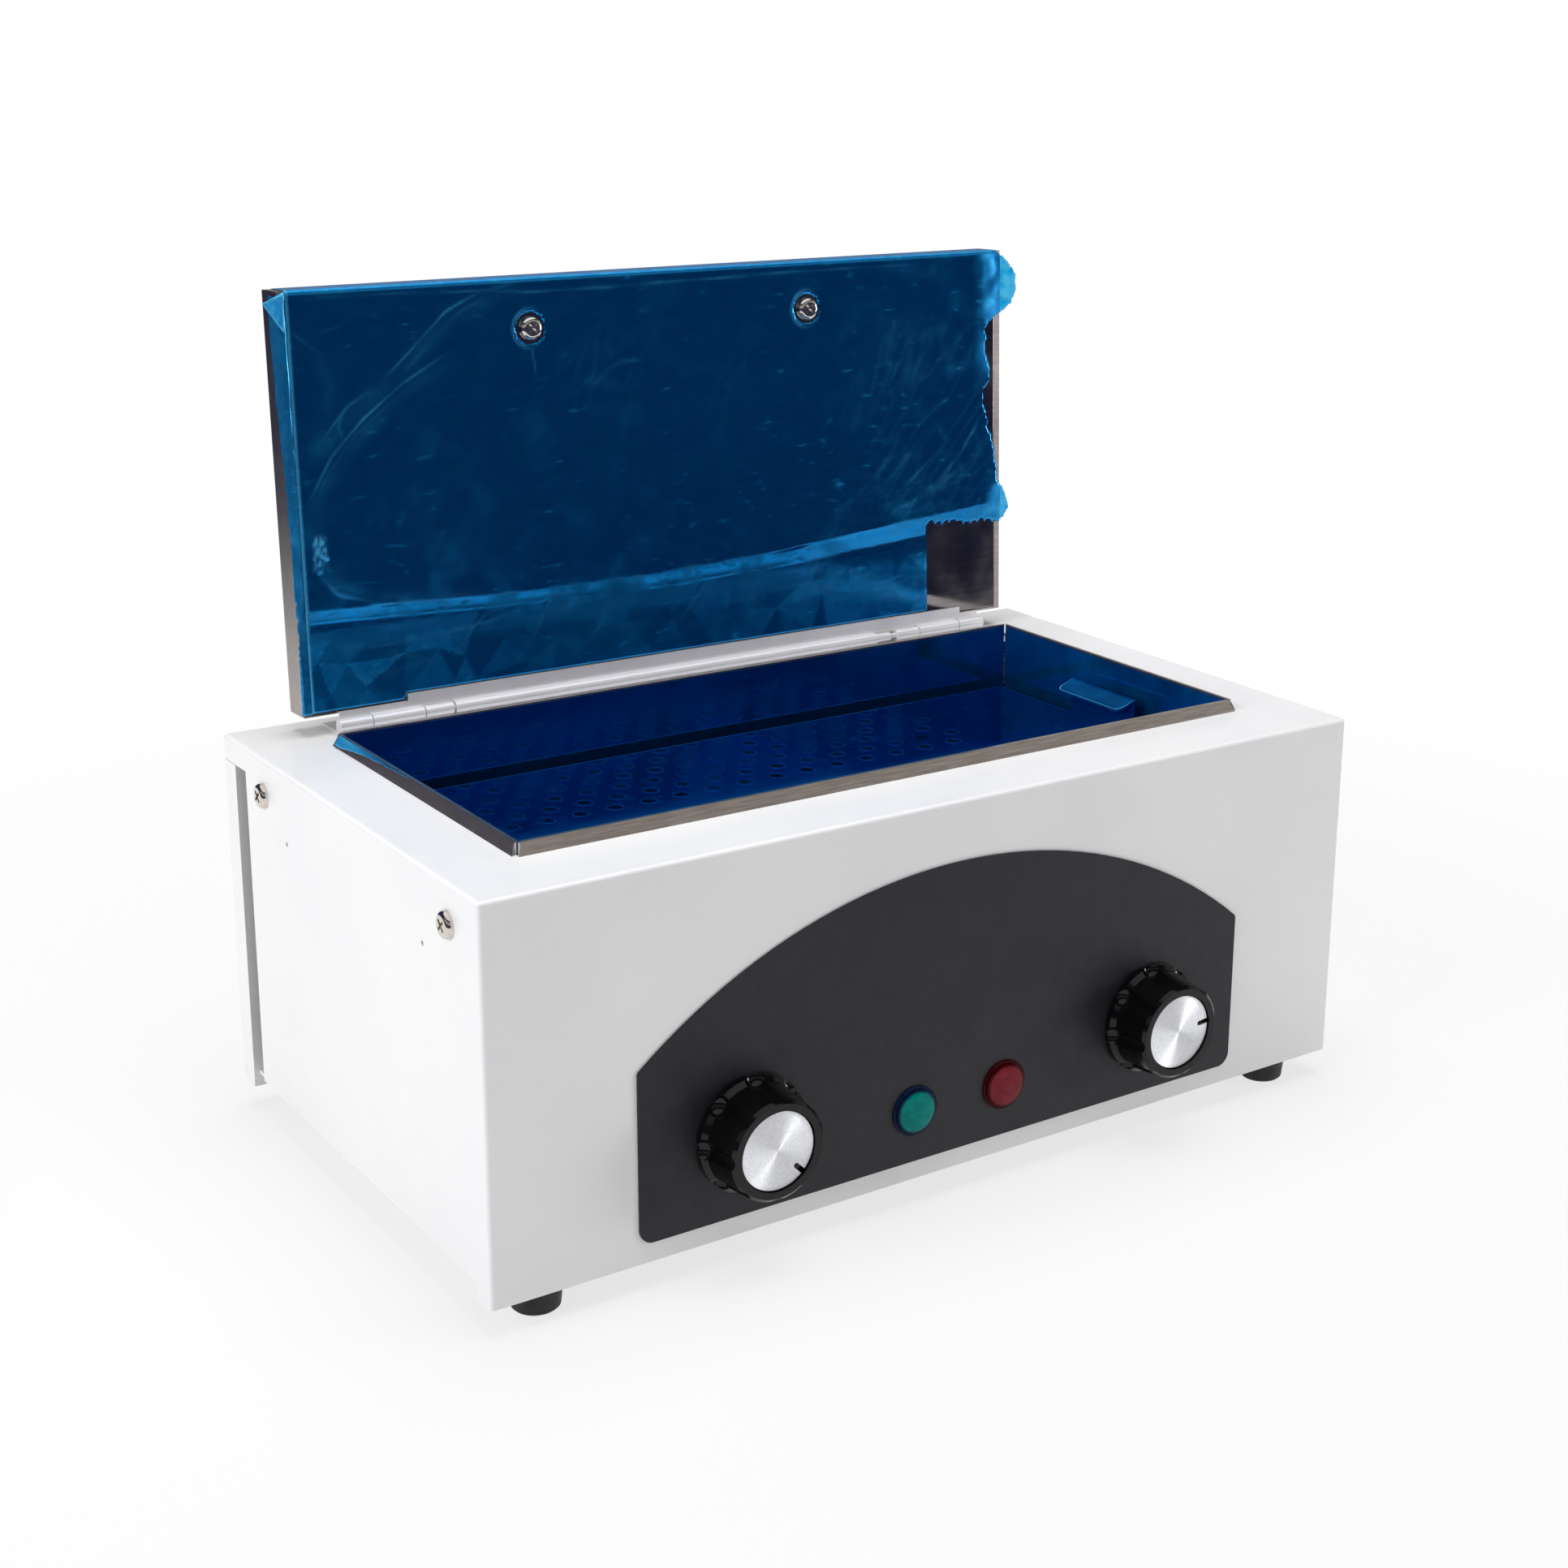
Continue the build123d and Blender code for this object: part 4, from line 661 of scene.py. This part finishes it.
def film_form(x, u):
    """The film's stand-off from the plate in millimetres, how pale it is, with whitened creases and painted
    highlights, and how loose it is.
    """
    pale = np.zeros(x.shape)
    for points, strength, half_width in creases:
        pale = np.maximum(pale, strength * line_strength(x, u, points, half_width))
    stand, tone = facets(x, u)
    height = crease_rise * pale + swell_height(x, u) + facet_rise * within(x, u, loose_strip) * stand
    for points, half_width in fan_folds:
        height += pull_rise * half_width * line_strength(x, u, points, half_width)
    height += slack_rise * within(x, u, right_part) * rumple(x, u, *slack_folds)
    # The small wad at the left is pale all over, and palest on its folds
    wads = rumple(x, u, *wad_folds)
    wadded = within(x, u, small_wad)
    height += wad_rise * wadded * wads
    pale = np.maximum(pale, wadded * (0.25 + 0.75 * wads))
    # Past the plate's left edge, where the film bends round, the paleness is a painted highlight
    pale = np.maximum(pale, bend_highlight_and_loose_share * np.clip((left_bend_x - x) / left_bend_soft, 0, 1))
    # Haze is a faint paleness on the finest wrinkles
    haze = 0.12 * within(x, u, right_part) * rumple(x, u, *slack_wrinkles)
    haze += 0.10 * within(x, u, fan_part) * rumple(x, u, *fan_wrinkles)
    cloudy = 0.2 + rumple(x, u, *haze_wrinkles)
    for haze_x, haze_u, reach, strength in haze_spots:
        haze += strength * np.exp(-(np.hypot(x - haze_x, u - haze_u) / reach) ** 2) * cloudy
    # Each triangle of the lower strip has its own looseness
    loose = np.interp(x, *strip_loose) * band(u, *strip_ends) * (0.30 + 0.70 * tone)
    # The two lobes at the right edge hang free in waves 7 mm wide
    wave = [noise.noise((a / 7, b / 7, 2.5)) for a, b in zip(x.ravel(), u.ravel())]
    wave = np.array(wave).reshape(x.shape)
    for area in (top_lobe, low_bulge):
        free = within(x, u, area)
        loose = np.maximum(loose, np.clip(free * (0.9 + 1.1 * wave), 0, 1))
        height += wad_rise * free * np.abs(wave)
    loose = np.maximum(loose, bend_highlight_and_loose_share * np.clip((u - top_bend_u) / top_bend_soft, 0, 1))
    # Round each screw the film is drawn up in a narrow ring, with a painted highlight on its left side
    for side in (-1, 1):
        off_x = x - side * handle_screw_x
        far = np.hypot(off_x, u - handle_screw_u)
        ring = np.exp(-((far - screw_hole_r - 1.6) / 0.6) ** 2)
        height += screw_ring_rise * ring
        pale = np.maximum(pale, bend_highlight_and_loose_share * ring * np.clip(0.5 - off_x / 9.0, 0, 1))
    return height, np.clip(pale + haze, 0, 1), loose


def film_piece(name, points, faces, pale, loose, thick=film_thick):
    """A piece of film from points in metres, which carries how pale and how loose it is at each point."""
    mesh = bpy.data.meshes.new(name)
    mesh.from_pydata(points, [], faces)
    mesh.materials.append(lid_film_finish)
    mesh.polygons.foreach_set("use_smooth", [True] * len(faces))
    for label, values in (("crease", pale), ("lifted", loose)):
        mesh.attributes.new(label, "FLOAT", "POINT").data.foreach_set("value", values)
    piece = bpy.data.objects.new(name, mesh)
    bpy.context.scene.collection.objects.link(piece)
    solid = piece.modifiers.new("thickness", "SOLIDIFY")
    solid.thickness = thick * MM
    solid.offset = 0.0
    return piece


def grid_faces(rows, columns, turned=False):
    """Four-sided faces between the points of a grid that was filled row by row."""
    faces = []
    for row in range(rows - 1):
        for column in range(columns - 1):
            a = row * columns + column
            b, c, d = a + 1, a + columns + 1, a + columns
            faces.append((a, d, c, b) if turned else (a, b, c, d))
    return faces


def sheet_point(x, s, height):
    """The sheet's point at s along it: up the lid's face, round its top edge, back along its top wall."""
    if s <= face_top:
        return lid_point(x, s, film_v - height - edge_curl * max(0.0, x - plate_half) ** 2)
    if s <= face_top + arc:
        turn = (s - face_top) / bend
        radius = bend + height
        return lid_point(x, face_top + radius * math.sin(turn), film_v + bend - radius * math.cos(turn))
    return lid_point(x, roof_u + height * 0.6, film_v + bend + s - face_top - arc)


def lid_sheet():
    """The film on the lid's face, rounded over the top edge and back along the top wall."""
    sheet_end = face_top + arc + roof_length
    run = np.append(np.arange(sheet_low, sheet_end, film_cell), sheet_end)
    x, s = np.meshgrid(np.arange(-plate_half, mesh_right, film_cell), run)
    height, pale, loose = film_form(x, s)
    # The film is drawn tight towards the top edge
    height = height * np.clip((face_top - s) / 2.0, 0.12, 1)
    # Both torn edges are ragged by a millimetre or less
    edge_u, edge_x = zip(*right_edge)
    torn = 1.1 * np.array([noise.noise((value * 0.45, 4.2, 0.0)) for value in run])[:, None]
    right = np.interp(s, edge_u, edge_x, right=roof_right) + torn * (s < face_top)
    torn_low = np.interp(x, *bare_top) + 0.5 * np.sin(x * 1.7)
    low = np.where(x > film_bare_x, torn_low, np.interp(x, *lower_edge))
    keep = (x <= right + film_cell) & (s >= low)
    x = np.where((x > right) & (x <= right + film_cell), right, x)
    # Past the lid's shell there is no steel behind the film
    free = x > shell_half - 0.6
    # The mesh's lines are drawn onto the round holes for the handle's screws
    for side in (-1, 1):
        off_x, off_s = x - side * handle_screw_x, s - handle_screw_u
        far = np.hypot(off_x, off_s)
        near = (np.abs(far - screw_hole_r) < film_cell * 0.6) & (far > 0)
        x = np.where(near, side * handle_screw_x + off_x * screw_hole_r / np.maximum(far, 0.1), x)
        s = np.where(near, handle_screw_u + off_s * screw_hole_r / np.maximum(far, 0.1), s)
    rows, width = x.shape
    faces, free_faces = [], []
    for corner, b, c, d in grid_faces(rows, width):
        if not all(keep.flat[index] for index in (corner, b, c, d)):
            continue
        middle_x = (x.flat[corner] + x.flat[c]) / 2
        middle_s = (s.flat[corner] + s.flat[c]) / 2
        if math.hypot(abs(middle_x) - handle_screw_x, middle_s - handle_screw_u) >= screw_hole_r:
            faces.append((corner, b, c, d))
            free_faces.append(int(free.flat[corner]))
    used = sorted({index for face in faces for index in face})
    new_index = {old: new for new, old in enumerate(used)}
    faces = [tuple(new_index[index] for index in face) for face in faces]
    points = [sheet_point(x.flat[index], s.flat[index], height.flat[index]) for index in used]
    piece = film_piece("lid_film_sheet", points, faces, pale.ravel()[used], loose.ravel()[used])
    piece.data.materials.append(free_film())
    piece.data.polygons.foreach_set("material_index", free_faces)
    return piece


sheet_piece = lid_sheet()
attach(sheet_piece, "lid")
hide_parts("lid_film")


def side_strip():
    """Film turned round the lid's left lip and part of its side wall, with a ragged rear edge."""
    lip = 3.0
    reach = 10.1
    columns = 15
    share_left = ([5, 25, 60, 90, 110, 130, 145, 152.6], [0.42, 0.30, 0.36, 0.52, 0.75, 0.95, 1.0, 0.9])
    rows = np.arange(5.0, 152.6, film_cell)
    points, pale = [], []
    for u in rows:
        ragged = 0.9 * noise.noise((u * 0.16, 1.3, 0.0)) + 0.5 * noise.noise((u * 0.6, 7.3, 0.0))
        for i in range(columns):
            t = i / (columns - 1) * (reach * np.interp(u, *share_left) + ragged)
            ripple = 0.16 * noise.noise((u * 0.10, t * 0.3, 3.0)) + 0.12
            # The fold over the plate's edge is pale: a painted highlight along the bend
            pale.append(0.8 if i == 0 else 0.5 * abs(noise.noise((u * 0.2, t * 0.8, 9.0))))
            if t < lip:
                points.append(lid_point(-plate_half - t, u, plate_v + 0.12 - ripple * 1.4))
            else:
                points.append(lid_point(-shell_half - 0.25 - max(0.0, ripple), u, plate_v + t - lip + 0.2))
    faces = grid_faces(len(rows), columns, turned=True)
    return film_piece("lid_film_side_strip", points, faces, pale, [0.40] * len(points))


strip_piece = side_strip()
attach(strip_piece, "lid")


def corner_flap():
    """The torn corner of the film, standing off the lid's top left corner."""
    rows = 12
    root, tip, low = (-152.6, 153.6), (-160.8, 150.2), (-153.2, 139.5)
    points, faces, pale = [], [], []
    for i in range(rows + 1):
        a = i / rows
        for j in range(i + 1):
            b = j / max(1, i)
            x, u = (root[k] * (1 - a) + a * (tip[k] * (1 - b) + low[k] * b) for k in (0, 1))
            lift_off = 0.012 * max(0.0, -plate_half - x) ** 2
            wave = abs(noise.noise((x * 0.3, u * 0.3, 1.0)))
            points.append(lid_point(x, u, plate_v - 0.3 - lift_off - 0.9 * wave))
            pale.append(0.9 if j in (0, i) or i == rows else 0.5 * wave)
    for i in range(rows):
        first, below = i * (i + 1) // 2, (i + 1) * (i + 2) // 2
        for j in range(i + 1):
            faces.append((first + j, below + j, below + j + 1))
            if j < i:
                faces.append((first + j, below + j + 1, first + j + 1))
    return film_piece("lid_film_corner_flap", points, faces, pale, [1.0] * len(points))


flap_piece = corner_flap()
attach(flap_piece, "lid")


def rim_film_edge():
    """Film left on the rim's left slope: wide and loose by the hinge, thin as a thread further forward."""
    front, back = 4.0, 62.4
    crown = (chamber_half_w + rim_crown_out, rim_top)
    foot = (chamber_half_w + rim_foot_out, case_top)
    drop = math.dist(crown, foot)
    out_x, out_z = (crown[1] - foot[1]) / drop, (foot[0] - crown[0]) / drop
    share_covered = ([4, 24, 40, 50, 58, 62.4], [0.08, 0.20, 0.36, 0.62, 0.84, 0.70])
    columns = 7
    rows = np.arange(front, back, film_cell)
    points, pale = [], []
    for y in rows:
        wave = noise.noise((y * 0.22, 0.0, 5.1))
        width = np.interp(y, *share_covered) + 0.05 * wave
        for i in range(columns):
            share = i / (columns - 1)
            t = 0.03 + share * width
            off = 0.14 + share ** 2 * max(0.0, (y - 30.0) / 32.0) * (0.35 + 0.6 * abs(wave))
            x = crown[0] + (foot[0] - crown[0]) * t + off * out_x
            z = crown[1] + (foot[1] - crown[1]) * t + off * out_z
            points.append((-x * MM, y * MM, z * MM))
            # The lower edge is pale whitened film, and the folds grow paler towards the rear: a painted
            # highlight
            fold = abs(noise.noise((y * 0.12, t * 5.0, 8.4)))
            pale.append(0.9 if i == columns - 1 else min(1.0, 1.6 * fold * max(0.15, (y - 28.0) / 34.0)))
    loose = [float(np.interp(point[1] / MM, [20, 50], [0.35, 1.0])) for point in points]
    return film_piece("rim_film_edge", points, grid_faces(len(rows), columns), pale, loose)


rim_piece = rim_film_edge()
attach(rim_piece, "case")


def tray_hole_burrs():
    """Low rings of lifted film, one round each hole of the tray, with a painted glint along their tops."""
    burr_thick = 0.05
    turns = 16
    # Each line of a ring: how far outside the hole, how high, and how pale, a painted glint that peaks on
    # the ring's top
    ring_shape_and_glint = ((0.04, 0.02, 0.35), (0.22, 0.22, 0.95), (0.70, 0.03, 0.08))
    points, faces, pale = [], [], []
    for row in range(hole_rows):
        odd = row % 2
        for column in range(hole_columns - odd):
            x = (column - (hole_columns - 1) / 2) * hole_pitch_x + odd * hole_pitch_x / 2
            y = chamber_y + (row - (hole_rows - 1) / 2) * hole_pitch_y
            foot_x = abs(x) - tray_half_w + tray_foot_in
            foot_y = abs(y - chamber_y) - tray_half_d + tray_foot_in
            if math.hypot(foot_x, foot_y) < 2 * tray_hole_r + tray_foot_clear:
                continue
            first = len(points)
            for out, rise, light in ring_shape_and_glint:
                far = tray_hole_r + out
                for turn in range(turns):
                    angle = 2 * math.pi * turn / turns
                    wave = 0.6 + 0.8 * abs(noise.noise((x + turn * 0.4, y, 2.0)))
                    ring_x, ring_y = x + far * math.cos(angle), y + far * math.sin(angle)
                    points.append((ring_x * MM, ring_y * MM, (tray_floor + rise * wave) * MM))
                    pale.append(light * wave)
            for ring in range(len(ring_shape_and_glint) - 1):
                for turn in range(turns):
                    a = first + ring * turns + turn
                    b = first + ring * turns + (turn + 1) % turns
                    faces.append((a, a + turns, b + turns, b))
    return film_piece("tray_hole_burrs", points, faces, pale, [0.5] * len(points), burr_thick)


def tab_film_edges():
    """The film's cut edge round the lip of both handle tabs, a pale thread that is partly a painted
    highlight.
    """
    width = 0.36
    # How pale the thread is: partly the cut edge and partly a painted highlight along the lip
    bright = 0.7
    steps = 5
    middle = sum(tab_y) / 2
    path = [(0.0, tab_y[0])]
    for centre_y, start in ((tab_y[0] + tab_corner, -90), (tab_y[1] - tab_corner, 0)):
        for step in range(steps + 1):
            angle = math.radians(start + 90 * step / steps)
            reach = tab_reach - tab_corner + tab_corner * math.cos(angle)
            path.append((reach, centre_y + tab_corner * math.sin(angle)))
    path.append((0.0, tab_y[1]))
    points, faces = [], []
    for side in (-1, 1):
        first = len(points)
        for reach, y in path:
            for inset in (0.0, width):
                inner = reach - inset if reach > tab_reach - tab_corner else reach
                across = y + inset * (1 if y < middle else -1)
                z = tab_high - tab_drop * inner / tab_reach + 0.12
                points.append((side * (tray_half_w - inner) * MM, across * MM, z * MM))
        for i in range(len(path) - 1):
            a = first + 2 * i
            faces.append((a, a + 1, a + 3, a + 2))
    return film_piece("tab_film_edges", points, faces, [bright] * len(points), [bright] * len(points))


for piece in (tray_hole_burrs(), tab_film_edges()):
    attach(piece, "tray")


def seen_ray(tree):
    """1 for rays from the camera, off mirrors and through film, 0 for those that carry soft light."""
    ray = add(tree, "ShaderNodeLightPath", None, None).outputs
    seen = ray["Is Camera Ray"]
    for kind in ("Is Glossy Ray", "Is Transmission Ray"):
        seen = add(tree, "ShaderNodeMath", {0: seen, 1: ray[kind]}, operation="MAXIMUM")
    return seen


# Light: white behind and in bright metal, a calm room for the shading
world = bpy.data.worlds.new("studio")
bpy.context.scene.world = world
world.use_nodes = True
sky = world.node_tree
room = add(sky, "ShaderNodeMapRange", {"Value": seen_ray(sky), "To Min": 0.15, "To Max": 1.0})
join(sky, sky.nodes["Background"], {"Color": "#FFFFFF", "Strength": room})


def softbox(name, where, aim, size, power, mirrored=True):
    """A square soft lamp that faces a point on the object, and may stay out of polished metal."""
    lamp = bpy.data.lights.new(name, "AREA")
    lamp.shape = "SQUARE"
    lamp.size = size
    lamp.energy = power
    holder = bpy.data.objects.new(name, lamp)
    holder.location = where
    holder.rotation_euler = (Vector(aim) - Vector(where)).to_track_quat("-Z", "Y").to_euler()
    holder.visible_glossy = mirrored
    bpy.context.scene.collection.objects.link(holder)


# Each lamp's place, what it faces and its size, in metres, and its power in watts
softbox("key_left", (-1.75, -0.22, 0.95), (-0.1, 0.0, 0.08), 1.1, 22.5, False)
softbox("top_soft", (0.1, 0.0, 1.7), (0.0, 0.0, 0.1), 1.2, 22.0, False)
softbox("right_strip", (1.55, -0.85, 0.22), (0.0, -0.1, 0.06), 0.4, 8.5)
softbox("rear_fill", (0.7, 1.9, 0.9), (0.0, 0.0, 0.1), 0.9, 4.0, False)


def bare_material(name):
    """A material with no shader yet."""
    material = bpy.data.materials.new(name)
    material.use_nodes = True
    material.node_tree.nodes.clear()
    return material, material.node_tree


def white_paper():
    """A white paper sweep: it glows white to the camera, and keeps a soft shadow close to the object."""
    material, tree = bare_material("white_paper_sweep")
    # The shadow is whole up to 0.22 m from the object's middle, and has faded out at 0.62 m
    far = add(tree, "ShaderNodeVectorMath", {0: place(tree)}, "Value", operation="LENGTH")
    even = {"Value": far, "From Min": 0.22, "From Max": 0.62, "To Min": 0.74, "To Max": 1.0}
    even = add(tree, "ShaderNodeMapRange", even)
    share = add(tree, "ShaderNodeMath", {0: seen_ray(tree), 1: even}, operation="MULTIPLY")
    paper = add(tree, "ShaderNodeBsdfDiffuse", {"Color": "#E6E6E6"})
    glow = add(tree, "ShaderNodeEmission", {"Color": "#FFFFFF", "Strength": 1.0})
    mixed = add(tree, "ShaderNodeMixShader", {0: share, 1: paper, 2: glow})
    add(tree, "ShaderNodeOutputMaterial", {"Surface": mixed}, None)
    return material


def backdrop(name, points, faces, materials):
    """A piece of the studio, which isn't part of the object."""
    mesh = bpy.data.meshes.new(name)
    mesh.from_pydata(points, [], faces)
    for material in materials:
        mesh.materials.append(material)
    piece = bpy.data.objects.new(name, mesh)
    bpy.context.scene.collection.objects.link(piece)
    return piece


floor_half = 6.0
floor_corners = [(floor_half * x, floor_half * y, 0) for x, y in ((-1, -1), (1, -1), (1, 1), (-1, 1))]
backdrop("floor", floor_corners, [(0, 1, 2, 3)], [white_paper()])


def dim_cloth(name, tone):
    """A flat dim tone, the same from every side."""
    material, tree = bare_material(name)
    dim = add(tree, "ShaderNodeEmission", {"Color": tone, "Strength": 1.0})
    add(tree, "ShaderNodeOutputMaterial", {"Surface": dim}, None)
    return material


def black_flags():
    """A dark surround that only polished metal sees, as in a studio with black flags round a white table."""
    sides = 48
    wall_radius = 3.2
    heights = (0.001, 0.001, 0.6, 1.9, 3.4)
    grey_tier = 2
    points, faces, tones = [], [], []
    for i in range(sides):
        angle = 2 * math.pi * i / sides
        table_radius = 0.80 + 0.18 * max(0.0, math.sin(angle))
        for tier, height in enumerate(heights):
            radius = wall_radius if tier else table_radius
            points.append((radius * math.cos(angle), radius * math.sin(angle), height))
        behind_left = sides * 0.23 < i < sides * 0.45
        for tier in range(len(heights) - 1):
            a = i * len(heights) + tier
            b = (i + 1) % sides * len(heights) + tier
            faces.append((a, b, b + 1, a + 1))
            tones.append(int(tier == grey_tier and not behind_left))
    cloth = dim_cloth("black_flag_cloth", (0.034, 0.037, 0.080, 1.0))
    wall = dim_cloth("grey_wall", (0.42, 0.40, 0.38, 1.0))
    flags = backdrop("black_flags", points, faces, [cloth, wall])
    flags.data.polygons.foreach_set("material_index", tones)
    for ray in ("camera", "diffuse", "transmission", "volume_scatter", "shadow"):
        setattr(flags, "visible_" + ray, False)


black_flags()

# Camera: placed and aimed as the photograph was taken, in metres and degrees
lens_data = bpy.data.cameras.new("camera")
lens_data.sensor_width = 36.0
lens_data.lens = 55.97
lens_data.shift_x = -0.0636
lens_data.shift_y = -0.0610
camera = bpy.data.objects.new("camera", lens_data)
stand = Matrix.Translation((-0.4656, -0.7177, 0.3962))
heading = Matrix.Rotation(math.radians(-35.238), 4, "Z")
tilt = Matrix.Rotation(math.radians(90 - 15.644), 4, "X")
roll = Matrix.Rotation(math.radians(0.717), 4, "Z")
camera.matrix_world = stand @ heading @ tilt @ roll
bpy.context.scene.collection.objects.link(camera)
bpy.context.scene.camera = camera
bpy.context.scene.view_settings.view_transform = "Standard"
